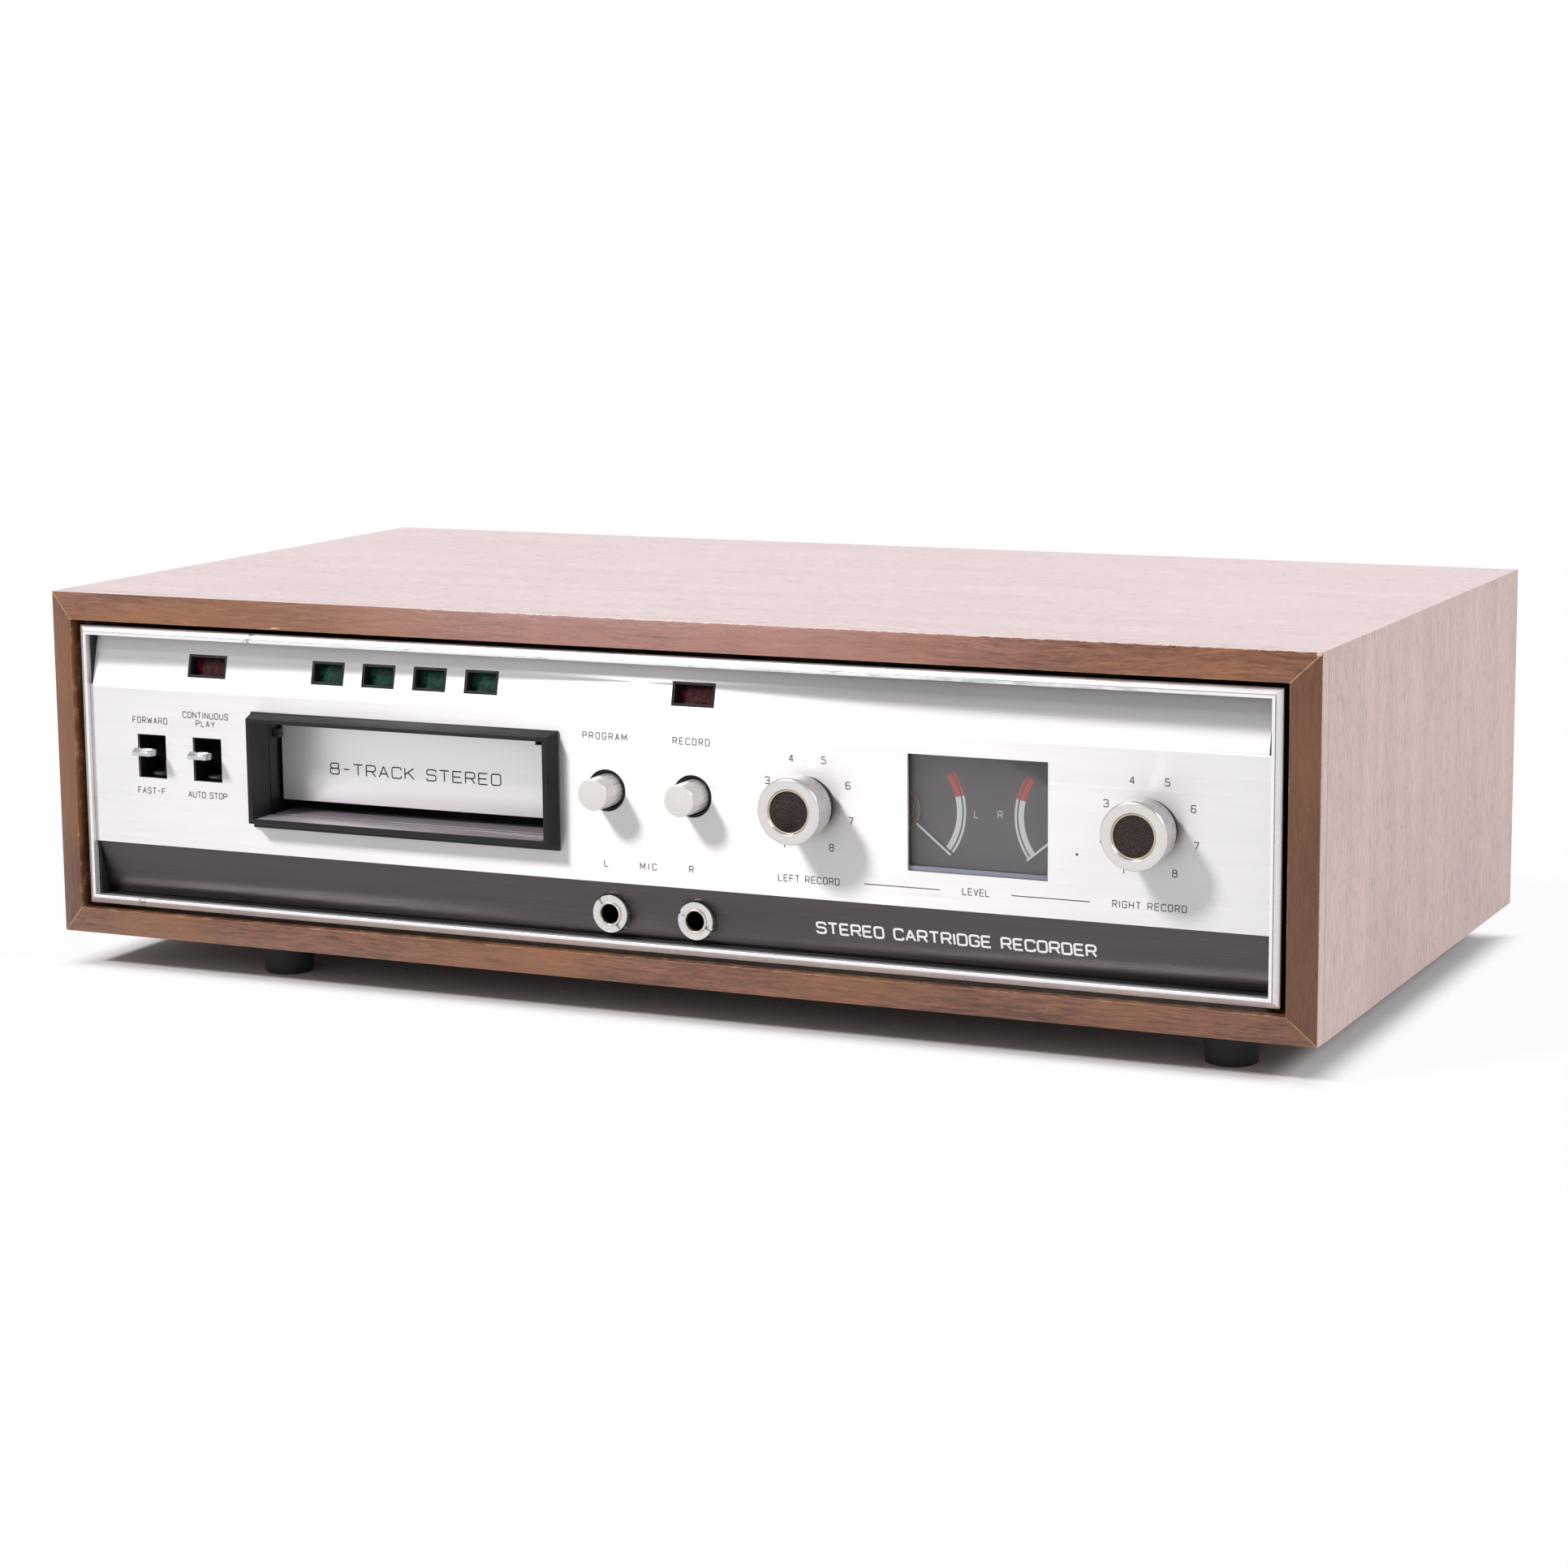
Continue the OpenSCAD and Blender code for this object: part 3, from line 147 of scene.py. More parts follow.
class Finish:
    """One material, built round a Principled shader. Lengths in it are millimetres."""

    def __init__(self, name, **constants):
        self.material = bpy.data.materials.new(name)
        self.material.use_nodes = True
        self.tree = self.material.node_tree
        self.shader = self.tree.nodes["Principled BSDF"]
        for socket, value in constants.items():
            self.shader.inputs[socket.replace("_", " ")].default_value = value

    def node(self, kind, settings, inputs, output=0):
        made = self.tree.nodes.new(kind)
        for key, value in settings.items():
            setattr(made, key, value)
        for key, value in inputs.items():
            value = getattr(value, "socket", value)
            if isinstance(value, bpy.types.NodeSocket):
                self.tree.links.new(value, made.inputs[key])
            else:
                made.inputs[key].default_value = value
        return Wire(self, made.outputs[output])

    def spot(self, middle=(0.0, 0.0, 0.0)):
        """Object coordinates in millimetres from a middle point given in metres."""
        raw = self.node("ShaderNodeTexCoord", {}, {}, "Object")
        moved = self.node(
            "ShaderNodeVectorMath", {"operation": "SUBTRACT"}, {0: raw, 1: tuple(middle)}
        )
        return self.node(
            "ShaderNodeVectorMath", {"operation": "SCALE"}, {0: moved, "Scale": 1 / MM}
        )

    def axes(self, vector):
        """The three coordinates of a point."""
        return [self.node("ShaderNodeSeparateXYZ", {}, {0: vector}, i) for i in range(3)]

    def vector(self, x, y, z):
        return self.node("ShaderNodeCombineXYZ", {}, {0: x, 1: y, 2: z})

    def stretched(self, vector, x, y, z):
        return self.node(
            "ShaderNodeVectorMath", {"operation": "MULTIPLY"}, {0: vector, 1: (x, y, z)}
        )

    def noise(self, vector, scale=1.0, detail=3.0, roughness=0.5):
        inputs = {"Vector": vector, "Scale": scale, "Detail": detail, "Roughness": roughness}
        return self.node("ShaderNodeTexNoise", {}, inputs, "Fac")

    def mix(self, factor, first, second):
        """A colour between two colours."""
        first, second = [c if isinstance(c, Wire) else (*c, 1.0) for c in (first, second)]
        inputs = {MIX_FACTOR: factor, MIX_FIRST: first, MIX_SECOND: second}
        return self.node("ShaderNodeMix", {"data_type": "RGBA"}, inputs, MIX_RESULT)

    def feed(self, **values):
        for socket, value in values.items():
            self.tree.links.new(value.socket, self.shader.inputs[socket.replace("_", " ")])

    def bump(self, height, depth_mm):
        """Relief from a height of 0 to 1, depth_mm high."""
        inputs = {"Strength": 1.0, "Distance": depth_mm * MM, "Height": height}
        self.feed(Normal=self.node("ShaderNodeBump", {}, inputs))


def shaded(color, by):
    """A colour made lighter or darker, never past white."""
    return [min(1.0, c * by) for c in color]


# How much painted shade dims the upper strip of the panel, how much more at its right end, and where from
# and to
DIM_SHARE = 0.09
DIM_MORE = 0.26
DIM_FROM = -20
DIM_TO = 100
BLACK = (0.0, 0.0, 0.0)


def metal(name, color, rough, grain=(1, 1, 1), tint=0.06, depth=0.01, wear=0.0, bare=1.0,
          dim_above=None):
    """Metal whose brushing or rolling runs where grain is smallest; bare is less where it is satin.

    Above the point dim_above it is a little darker, most of all at its right end: painted shade.
    """
    made = Finish(name, Metallic=bare, Roughness=rough)
    p = made.spot()
    lines = made.noise(made.stretched(p, *grain), detail=4, roughness=0.65)
    cloud = made.noise(p, scale=0.035, detail=3)
    shade = made.mix((lines - 0.5) * 1.6 + 0.5, shaded(color, 1 - tint), shaded(color, 1 + tint))
    if wear:
        scuffs = made.noise(made.stretched(p, 0.6, 0.6, 0.6), detail=5, roughness=0.75)
        shade = made.mix(scuffs.ramp(0.58, 0.72) * wear, shade, shaded(color, 0.55))
    # Painted shade: the strip above the bend is darkened, most at its right end
    if dim_above:
        x, _, z = made.axes(made.spot(dim_above))
        dim = (z > 0.0) * (x.ramp(DIM_FROM, DIM_TO) * DIM_MORE + DIM_SHARE)
        shade = made.mix(dim, shade, BLACK)
    made.feed(Base_Color=shade, Roughness=(lines - 0.5) * 0.22 + (cloud - 0.5) * 0.12 + rough)
    made.bump(lines, depth)
    return made


def plastic(name, color, rough, coat=0.0, grit=0.02, speckle=0.12, shine=0.5):
    """Moulded plastic with a fine grit and faint handling marks."""
    made = Finish(name, Roughness=rough, Coat_Weight=coat, Coat_Roughness=0.08, Specular_IOR_Level=shine)
    p = made.spot()
    grain = made.noise(p, scale=6.0, detail=2)
    marks = made.noise(made.stretched(p, 0.12, 0.12, 0.3), detail=5, roughness=0.7)
    light = [min(1.0, c * (1 + speckle) + 0.004) for c in color]
    made.feed(
        Base_Color=made.mix(grain * 0.6 + marks * 0.4, shaded(color, 1 - speckle), light),
        Roughness=(marks - 0.5) * 0.25 + rough,
    )
    made.bump(grain, grit)
    return made


def spun(name, middle, color, rough, bare=0.85, pitch=0.8):
    """Lathe-turned aluminium round an axis along Y through the point middle."""
    made = Finish(name, Metallic=bare, Roughness=rough)
    p = made.spot(middle)
    x, y, z = made.axes(p)
    radius = (x * x + z * z).math("SQRT")
    grooves = made.noise(made.vector(radius / pitch, y / pitch, 0.0), detail=2, roughness=0.6)
    cloud = made.noise(p, scale=0.25, detail=3)
    made.feed(
        Base_Color=made.mix(grooves * 0.6 + cloud * 0.4, shaded(color, 0.86), color),
        Roughness=(grooves - 0.5) * 0.16 + rough,
    )
    made.bump(grooves, 0.006)
    return made


# The sill of the cartridge slot, polished and painted pale as painted light: its front edge, its height
# and how far that reaches up and down, and half its width
SILL_FROM = -6.2
SILL_Z = 46.4
SILL_REACH = 3.0
SILL_HALF = 52.8
LIT_SILL_COLOR = (0.40, 0.35, 0.40)
# A painted highlight on the top rail, a pale sheen: its middle, where it begins to fade to
# either side, and where it ends
SHEEN_X = 5.0
SHEEN_FADES = 30
SHEEN_ENDS = 165
SHEEN_COLOR = (0.46, 0.25, 0.235)
# Pale, mid and fleck colours of the walnut
# The top's pale colours are partly its fading and partly a painted reflection of the bright room
TOP_COLORS = ((0.85, 0.675, 0.665), (0.70, 0.53, 0.525), (0.46, 0.335, 0.36))
SIDE_COLORS = ((0.68, 0.47, 0.42), (0.45, 0.315, 0.29), (0.22, 0.165, 0.15))
UNDER_COLORS = ((0.20, 0.12, 0.09), (0.12, 0.07, 0.05), (0.06, 0.035, 0.025))
FRONT_COLORS = ((0.30, 0.122, 0.066), (0.105, 0.035, 0.018), (0.033, 0.012, 0.007))


# Grain of the walnut along the run, across it and into it, in features a millimetre
SWAY_GRAIN = (0.014, 0.03, 0.03)
BAND_GRAIN = (0.010, 0.07, 0.05)
STREAK_GRAIN = (0.075, 1.1, 0.4)
FLECK_GRAIN = (0.13, 1.35, 0.5)
PORE_GRAIN = (0.34, 3.6, 1.0)
SWAY_MM = 9.0


def wood_figure(made, run, across, depth, colors):
    """Walnut figure in pale, mid and fleck colours: bands, fine streaks and short dark flecks."""
    pale, mid, fleck = colors
    straight = made.vector(run, across, depth)
    sway = made.noise(made.stretched(straight, *SWAY_GRAIN), detail=2)
    swayed = made.vector(run, across + sway * SWAY_MM, depth)
    bands = made.noise(made.stretched(swayed, *BAND_GRAIN), detail=4, roughness=0.65)
    streaks = made.noise(made.stretched(swayed, *STREAK_GRAIN), detail=4, roughness=0.7)
    flecks = made.noise(made.stretched(swayed, *FLECK_GRAIN), detail=3).ramp(0.50, 0.70)
    pores = made.noise(made.stretched(swayed, *PORE_GRAIN), detail=1).ramp(0.58, 0.68)
    blend = (bands.ramp(0.28, 0.72) * 0.45 + (streaks - 0.5) * 2.2 + 0.28).clamped()
    shade = made.mix(blend, mid, pale)
    shade = made.mix(flecks * (1.2 - bands) * 0.8, shade, fleck)
    shade = made.mix(pores * 0.4, shade, shaded(fleck, 0.7))
    return shade, streaks, pores


def veneer(name, colors, rough, upright=False):
    """Walnut veneer with its grain along X, or along Z where it is upright."""
    made = Finish(name, Roughness=rough, Coat_Weight=0.12, Coat_Roughness=0.3)
    x, y, z = made.axes(made.spot(place(0, 0, CABINET_H / 2)))
    run, across, depth = (z, y, x) if upright else (x, y, z)
    shade, streaks, pores = wood_figure(made, run, across, depth, colors)
    made.feed(Base_Color=shade, Roughness=(streaks - 0.5) * 0.2 + rough)
    made.bump(streaks * 0.5 - pores * 0.8, 0.04)
    return made


# Bare spots on the front strip: distance from the middle, height over the middle, length, depth
NICKS = ((-130.9, 49.6, 2.4, 0.25), (112.0, 57.8, 3.0, 0.25), (218.9, 57.4, 0.9, 0.8))
# The stretch of the top arris that is rubbed bare
RUBBED_FROM = -84.0
RUBBED_TO = 215.0
# How deep the veneer of the strip's outer faces is
EDGE_SHOWS = 0.12
# Colours of the front strip: its amber patches, its darker uprights, the right one darker still as painted
# shade, and the bare wood at its joints, inner edge, rubbed arris, corners and nicks
AMBER = (0.33, 0.135, 0.045)
UPRIGHT = (0.105, 0.034, 0.011)
JOINT = (0.58, 0.36, 0.17)
INNER_EDGE = (0.55, 0.36, 0.22)
ARRIS = (0.80, 0.68, 0.64)
CORNER = (0.50, 0.43, 0.40)
NICK = (0.78, 0.60, 0.42)
# The figure of an upright runs along its length, from another part of the same board
UPRIGHT_STRETCH = 1.3
UPRIGHT_START = 91.0
UPRIGHT_ACROSS = 1.1


def front_strip_wood(name, colors, rough):
    """Solid walnut strip, mitred at its corners, with pale wood showing where it is rubbed.

    Its outer faces carry the same veneer as the boards behind them.
    """
    made = Finish(name, Roughness=rough, Coat_Weight=0.25, Coat_Roughness=0.4)
    p = made.spot(place(0, 0, CABINET_H / 2))
    x, y, z = made.axes(p)
    from_end = CABINET_W / 2 - abs(x)
    from_top = CABINET_H / 2 - abs(z)
    stile = from_end < from_top
    run = x + (z * UPRIGHT_STRETCH + UPRIGHT_START - x) * stile
    across = z + (x * UPRIGHT_ACROSS - z) * stile
    shade, streaks, pores = wood_figure(made, run, across, y, colors)
    amber = made.noise(made.stretched(p, 0.011, 0.05, 0.02), detail=2).ramp(0.42, 0.62)
    shade = made.mix(amber * 0.5, shade, AMBER)
    # Both uprights are darker, and the right one more so as painted shade
    shade = made.mix(stile * ((x > 0.0) * 0.35 + 0.4), shade, UPRIGHT)
    # Painted highlight: a pale sheen across the middle of the top rail
    near = 1 - abs(x - SHEEN_X).ramp(SHEEN_FADES, SHEEN_ENDS)
    painted_sheen = (z > 0.0) * (1 - stile) * near * (streaks * 0.5 + 0.25)
    shade = made.mix(painted_sheen, shade, SHEEN_COLOR)
    worn = made.noise(p, scale=0.16, detail=5, roughness=0.7)
    joint = 1 - abs(from_end - from_top).ramp(0.1, 0.42)
    shade = made.mix(joint * (worn.ramp(0.35, 0.6) * 0.5 + 0.15), shade, JOINT)
    inner = 1 - abs(BOARD - from_end.smaller(from_top)).ramp(0.1, 0.4)
    shade = made.mix(inner * worn.ramp(0.5, 0.62) * 0.4, shade, INNER_EDGE)
    upper = (CABINET_H / 2 - z) < EDGE_SHOWS
    top_shade, _, _ = wood_figure(made, x, y, z, TOP_COLORS)
    shade = made.mix(upper, shade, top_shade)
    side_shade, _, _ = wood_figure(made, z, y, x, SIDE_COLORS)
    shade = made.mix(from_end < EDGE_SHOWS, shade, side_shade)
    dashes = made.noise(made.stretched(p, 0.35, 1.0, 1.0), detail=4, roughness=0.75).ramp(0.47, 0.56)
    rubbed = (x > RUBBED_FROM) * (x < RUBBED_TO) * (z > 0.0)
    arris = 1 - (from_top + abs(y) * 0.7).ramp(0.1, 0.6)
    shade = made.mix(arris * dashes * rubbed * 0.8, shade, ARRIS)
    corner = 1 - (from_end + abs(y) * 0.7).ramp(0.05, 0.5)
    shade = made.mix(corner * (dashes * 0.4 + 0.3), shade, CORNER)
    ragged = made.noise(p, scale=0.9, detail=4, roughness=0.7)
    for nick_x, nick_z, length, depth in NICKS:
        along = (x - nick_x) / length
        off = (z - nick_z) / depth
        nick = 1 - (along * along + off * off + (ragged - 0.5) * 3.0).ramp(0.5, 0.9)
        shade = made.mix(nick * 0.7, shade, NICK)
    made.feed(Base_Color=shade, Roughness=(streaks - 0.5) * 0.2 + rough)
    made.bump(streaks * 0.5 - pores * 0.8 - joint * 0.8, 0.05)
    return made


# The rim's top bar starts at this height over the middle, and is dull between its ends
RIM_TOP_Z = 43.0
DULL_FROM = (-150.0, -90.0)
DULL_TO = (150.0, 200.0)
# Where a slanting scratch crosses the rim
SCAR_X = -141.9
SCAR_Z = 45.0
SCAR_COLOR = (0.16, 0.13, 0.14)


def scuffed_rim(name, color, rough):
    """Satin trim whose top bar has dulled in patches, with a scratch across it."""
    made = Finish(name, Metallic=0.6, Roughness=rough)
    p = made.spot(place(0, 0, CABINET_H / 2))
    x, _, z = made.axes(p)
    patches = made.noise(made.stretched(p, 0.07, 0.9, 0.5), detail=5, roughness=0.72)
    dull = patches.ramp(0.48, 0.62) * (z > RIM_TOP_Z) * x.ramp(*DULL_FROM) * (1 - x.ramp(*DULL_TO))
    shade = made.mix(dull * 0.7 + patches * 0.1, color, shaded(color, 0.5))
    grit = made.noise(p, scale=1.6, detail=3, roughness=0.7)
    scar_at = abs(x - SCAR_X - (z - SCAR_Z) * 0.5)
    scar = (1 - scar_at.ramp(0.4, 2.0)) * grit.ramp(0.45, 0.55)
    shade = made.mix(scar * 0.8, shade, SCAR_COLOR)
    made.feed(Base_Color=shade, Roughness=(patches - 0.5) * 0.2 + rough)
    made.bump(patches, 0.003)
    return made


HUB_EDGE = (6.4, 6.7)
HUB_DARK = (0.05, 0.035, 0.03)
HUB_COPPER = (0.32, 0.17, 0.10)
POINTER_WHITE = (0.86, 0.86, 0.84)


def meter_pointer(name, pivot):
    """White painted pointer on a dark copper coloured hub."""
    made = Finish(name, Roughness=0.4)
    x, y, z = made.axes(made.spot(pivot))
    radius = (x * x + z * z).math("SQRT")
    rings = made.noise(made.vector(radius * 1.4, 0.0, 0.0), detail=3)
    hub = made.mix(rings.ramp(0.4, 0.65), HUB_DARK, HUB_COPPER)
    made.feed(Base_Color=made.mix(radius.ramp(*HUB_EDGE), hub, POINTER_WHITE))
    made.bump(rings, 0.02)
    return made


def lens_plastic(name, color, bulb_light):
    """Dark clear plastic, mottled with painted light from the bulb under it."""
    made = Finish(name, Roughness=0.18, Specular_IOR_Level=0.25)
    p = made.spot()
    mottle = made.noise(made.stretched(p, 0.9, 0.9, 0.5), detail=4, roughness=0.65)
    # The lighter mottle is painted light from the bulb
    made.feed(
        Base_Color=made.mix(mottle.ramp(0.42, 0.64), color, bulb_light),
        Roughness=(mottle - 0.5) * 0.2 + 0.18,
    )
    made.bump(mottle, 0.04)
    return made


def slot_plastic(name, color, rough):
    """Black plastic with its sill polished by the cartridges that slide over it, and painted pale as
    painted light.
    """
    made = Finish(name, Roughness=rough, Coat_Roughness=0.15, Specular_IOR_Level=0.3)
    p = made.spot(place(SLOT_X, SILL_FROM, SILL_Z))
    x, y, z = made.axes(p)
    grain = made.noise(p, scale=6.0, detail=2)
    marks = made.noise(made.stretched(p, 0.4, 0.06, 0.3), detail=4, roughness=0.7)
    sill = (y > 0.0) * (abs(z) < SILL_REACH) * (abs(x) < SILL_HALF)
    shade = made.mix(grain * 0.6 + marks * 0.4, shaded(color, 0.85), shaded(color, 1.2))
    # The sill's pale colour is painted light
    made.feed(
        Base_Color=made.mix(sill, shade, LIT_SILL_COLOR),
        Roughness=(marks - 0.5) * 0.2 + rough,
        Coat_Weight=sill * (marks * 0.5 + 0.6),
    )
    made.bump(grain, 0.015)
    return made


DUST = (0.25, 0.22, 0.19)


def flock(name, color):
    """Grained black insert with pale specks of dust."""
    made = Finish(name, Roughness=0.7, Specular_IOR_Level=0.12)
    p = made.spot()
    grain = made.noise(p, scale=2.6, detail=4, roughness=0.7)
    dust = made.noise(p, scale=5.0, detail=1).ramp(0.66, 0.74)
    shade = made.mix(grain.ramp(0.35, 0.65), shaded(color, 0.5), shaded(color, 1.9))
    made.feed(Base_Color=made.mix(dust * 0.5, shade, DUST))
    made.bump(grain, 0.12)
    return made


# Painted shade in the bore: it darkens from and to these depths behind the mouth
BORE_SHADE_DEPTHS = (0.2, 1.6)
BORE_SHADE = (0.035, 0.020, 0.014)


def jack_barrel(name, color, mouth_y):
    """Nickelled barrel with painted shade where its bore goes in behind mouth_y."""
    made = Finish(name, Metallic=0.8, Roughness=0.3)
    p = made.spot(place(0, mouth_y, 0))
    _, y, _ = made.axes(p)
    grain = made.noise(p, scale=1.1, detail=3)
    shade = made.mix(grain, shaded(color, 0.9), color)
    # Painted shade deeper in the bore
    made.feed(Base_Color=made.mix(y.ramp(*BORE_SHADE_DEPTHS), shade, BORE_SHADE))
    made.bump(grain, 0.01)
    return made


def clear_cover(name):
    """Clear meter cover with faint hairlines."""
    made = Finish(name, Base_Color=(0.95, 0.95, 0.97, 1.0), Roughness=0.04, IOR=1.49)
    made.shader.inputs["Transmission Weight"].default_value = 1.0
    hair = made.noise(made.stretched(made.spot(), 0.03, 1.0, 1.4), detail=3)
    made.feed(Roughness=hair.ramp(0.6, 0.8) * 0.05 + 0.03)
    return made


LINES_ALONG_X = (0.012, 2.2, 2.6)

veneer_top = veneer("walnut veneer, faded top", TOP_COLORS, 0.34)
veneer_side = veneer("walnut veneer, sides", SIDE_COLORS, 0.38, upright=True)
veneer_under = veneer("walnut veneer, underside", UNDER_COLORS, 0.5)
front_wood = front_strip_wood("walnut front strip", FRONT_COLORS, 0.36)
hardboard = plastic("painted hardboard", (0.10, 0.065, 0.045), 0.75, grit=0.12, speckle=0.35)
rubber = plastic("black rubber", (0.018, 0.018, 0.019), 0.78, grit=0.05, speckle=0.3)
screw_steel = metal("screw steel", (0.55, 0.55, 0.57), 0.34, (0.4, 0.4, 0.4), tint=0.1)
trim_metal = scuffed_rim("satin bright trim", (0.90, 0.885, 0.90), 0.3)
chrome = metal("chromed handle", (0.60, 0.61, 0.65), 0.15, (0.3, 2, 2), tint=0.05)
nut_metal = metal("nickelled ring nut", (0.70, 0.69, 0.68), 0.22, (1.2, 1.2, 1.2), tint=0.14, wear=0.5,
                  bare=0.9)
bezel_plastic = slot_plastic("black slot plastic", (0.010, 0.009, 0.0105), 0.34)
black_plastic = plastic("black moulded plastic", (0.011, 0.010, 0.0115), 0.34, shine=0.3)
soft_black = plastic("black guide plastic", (0.011, 0.010, 0.011), 0.42, grit=0.03, shine=0.3)
# Above the bend the panel gets painted shade
brushed = metal("brushed aluminium", (0.675, 0.655, 0.66), 0.42, LINES_ALONG_X, tint=0.045, depth=0.012,
                bare=0.7, dim_above=place(0, 0, BEND_Z))
# The brushing runs along X and spreads highlights up and down
brushed.shader.inputs["Anisotropic"].default_value = 0.9
brushed.shader.inputs["Anisotropic Rotation"].default_value = 0.25
door_metal = metal("brushed door aluminium", (0.95, 0.925, 0.935), 0.36, LINES_ALONG_X, tint=0.03,
                   depth=0.015, bare=0.5)
band_metal = metal("dark brushed band", (0.105, 0.092, 0.095), 0.42, LINES_ALONG_X, tint=0.2, depth=0.02)
red_lens = lens_plastic("dark red lens", (0.022, 0.005, 0.006), (0.13, 0.008, 0.012))
green_lens = lens_plastic("dark green lens", (0.006, 0.030, 0.022), (0.012, 0.085, 0.060))
dial_black = plastic("dial paint", (0.125, 0.113, 0.118), 0.6, grit=0.015, speckle=0.12)
plated = metal("zinc plated steel", (0.56, 0.55, 0.50), 0.36, (0.2, 0.2, 0.2), tint=0.12, wear=0.3)
jack_metal = metal("nickelled brass", (0.72, 0.66, 0.52), 0.24, (1, 1, 1), tint=0.08)
mic_barrel = jack_barrel("microphone jack barrel", (0.74, 0.66, 0.58), 0.0)
bronze = metal("bearing bronze", (0.62, 0.44, 0.22), 0.36, (1, 1, 1), tint=0.1)
wheel_metal = metal("turned flywheel", (0.50, 0.49, 0.47), 0.3, (0.1, 0.1, 2.0), tint=0.12)
cream_plastic = plastic("cream nylon", (0.62, 0.58, 0.47), 0.45)
coil_paint = plastic("varnished winding", (0.30, 0.11, 0.035), 0.35, coat=0.4, speckle=0.3)
core_iron = plastic("varnished core", (0.06, 0.06, 0.065), 0.45, coat=0.2, speckle=0.3)
board_brown = plastic("circuit board", (0.22, 0.13, 0.045), 0.5, speckle=0.25)
rest_grey = plastic("dusty black plastic", (0.060, 0.056, 0.054), 0.5, grit=0.03)
knob_insert = flock("grained knob insert", (0.030, 0.022, 0.020))
print_grey = plastic("grey brown print", (0.090, 0.073, 0.073), 0.5, grit=0.0, shine=0.2)
print_black = plastic("black print", (0.030, 0.027, 0.027), 0.5, grit=0.0, shine=0.2)
print_silver = plastic("silver print", (0.95, 0.93, 0.91), 0.4, grit=0.0, speckle=0.05)
print_white = plastic("white dial print", (0.80, 0.81, 0.80), 0.5, grit=0.0, speckle=0.05)
print_red = plastic("red dial print", (0.62, 0.075, 0.055), 0.5, grit=0.0, speckle=0.08)
gilt = metal("thin gilt ring", (0.66, 0.55, 0.42), 0.25, (1, 1, 1))
# Its bluish colour is a painted reflection on the cover's polished edge
cover_edge_reflection = plastic("polished cover edge", (0.22, 0.22, 0.29), 0.12, coat=0.4, grit=0.0, speckle=0.25)
meter_cover = clear_cover("clear meter cover")


# ---- making pieces ----------------------------------------------------------


def alone(piece):
    """Select this piece only and make it the active one."""
    bpy.ops.object.select_all(action="DESELECT")
    piece.select_set(True)
    bpy.context.view_layer.objects.active = piece


def dress(piece, finish):
    """Give a piece its finish."""
    piece.data.materials.clear()
    piece.data.materials.append(finish.material)


# Edges that turn more than this many degrees are rounded, and shading breaks there
SHARP_ANGLE = 35.0
# Faces that turn less than this many degrees are one flat face
FLAT_ANGLE = 1.0
WELD = 0.002 * MM
ARC_WELD = 0.001 * MM
ON_BEND = 0.02 * MM
BEND_STEPS = 4


def rounded_edges(piece, width, segments=2):
    """Round the sharp edges of a piece by a width in millimetres."""
    bevel = piece.modifiers.new("arris", "BEVEL")
    bevel.width = width * MM
    bevel.segments = segments
    bevel.limit_method = "ANGLE"
    bevel.angle_limit = math.radians(SHARP_ANGLE)
    alone(piece)
    bpy.ops.object.modifier_apply(modifier=bevel.name)


def soften_bend(piece, y, z, width):
    """Round the bend of a sheet, which runs along X at the depth y and the height z."""
    at = place(0, y, z)
    alone(piece)
    bpy.ops.object.mode_set(mode="EDIT")
    bpy.ops.mesh.select_all(action="DESELECT")
    bpy.ops.mesh.select_mode(type="EDGE")
    bpy.ops.object.mode_set(mode="OBJECT")
    points = piece.data.vertices
    for edge in piece.data.edges:
        ends = [points[i].co for i in edge.vertices]
        edge.select = all(abs(e.y - at.y) < ON_BEND and abs(e.z - at.z) < ON_BEND for e in ends)
    bpy.ops.object.mode_set(mode="EDIT")
    bpy.ops.mesh.bevel(offset=width * MM, segments=BEND_STEPS, affect="EDGES")
    bpy.ops.mesh.select_mode(type="VERT")
    bpy.ops.object.mode_set(mode="OBJECT")


def eased(node, finish, width, angle=SHARP_ANGLE, bend=None):
    """A copy of a CAD node with its arrises rounded, which is shown in the node's place."""
    source = frame["nodes"][node]
    piece = bpy.data.objects.new(node + "_shown", source.data.copy())
    scene.collection.objects.link(piece)
    alone(piece)
    bpy.ops.object.mode_set(mode="EDIT")
    bpy.ops.mesh.select_all(action="SELECT")
    bpy.ops.mesh.remove_doubles(threshold=WELD)
    bpy.ops.mesh.dissolve_limited(angle_limit=math.radians(FLAT_ANGLE))
    bpy.ops.object.mode_set(mode="OBJECT")
    if bend:
        soften_bend(piece, *bend)
    if width:
        rounded_edges(piece, width)
    bpy.ops.object.shade_smooth_by_angle(angle=math.radians(angle))
    dress(piece, finish)
    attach(piece, source["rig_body"])
    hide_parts(node)
    return piece


def finished(piece, name, finish, body):
    """Fix a new piece's place in its mesh and put it on its body."""
    alone(piece)
    bpy.ops.object.transform_apply(location=True, rotation=True, scale=True)
    piece.name = name
    dress(piece, finish)
    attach(piece, body)
    return piece


def joined(pieces, name, finish, body):
    """Several pieces made into one, finished as the others are."""
    bpy.ops.object.select_all(action="DESELECT")
    for piece in pieces:
        piece.select_set(True)
    bpy.context.view_layer.objects.active = pieces[0]
    bpy.ops.object.join()
    return finished(bpy.context.object, name, finish, body)


def bar(x0, x1, z0, z1, y, thick, ease):
    """A flat bar that stands thick in front of the depth y, its edges eased."""
    bpy.ops.object.select_all(action="DESELECT")
    middle = place((x0 + x1) / 2, y - thick / 2, (z0 + z1) / 2)
    bpy.ops.mesh.primitive_cube_add(size=1.0, location=middle)
    piece = bpy.context.object
    piece.scale = Vector((x1 - x0, thick, z1 - z0)) * MM
    bpy.ops.object.transform_apply(location=True, rotation=True, scale=True)
    rounded_edges(piece, ease)
    return piece


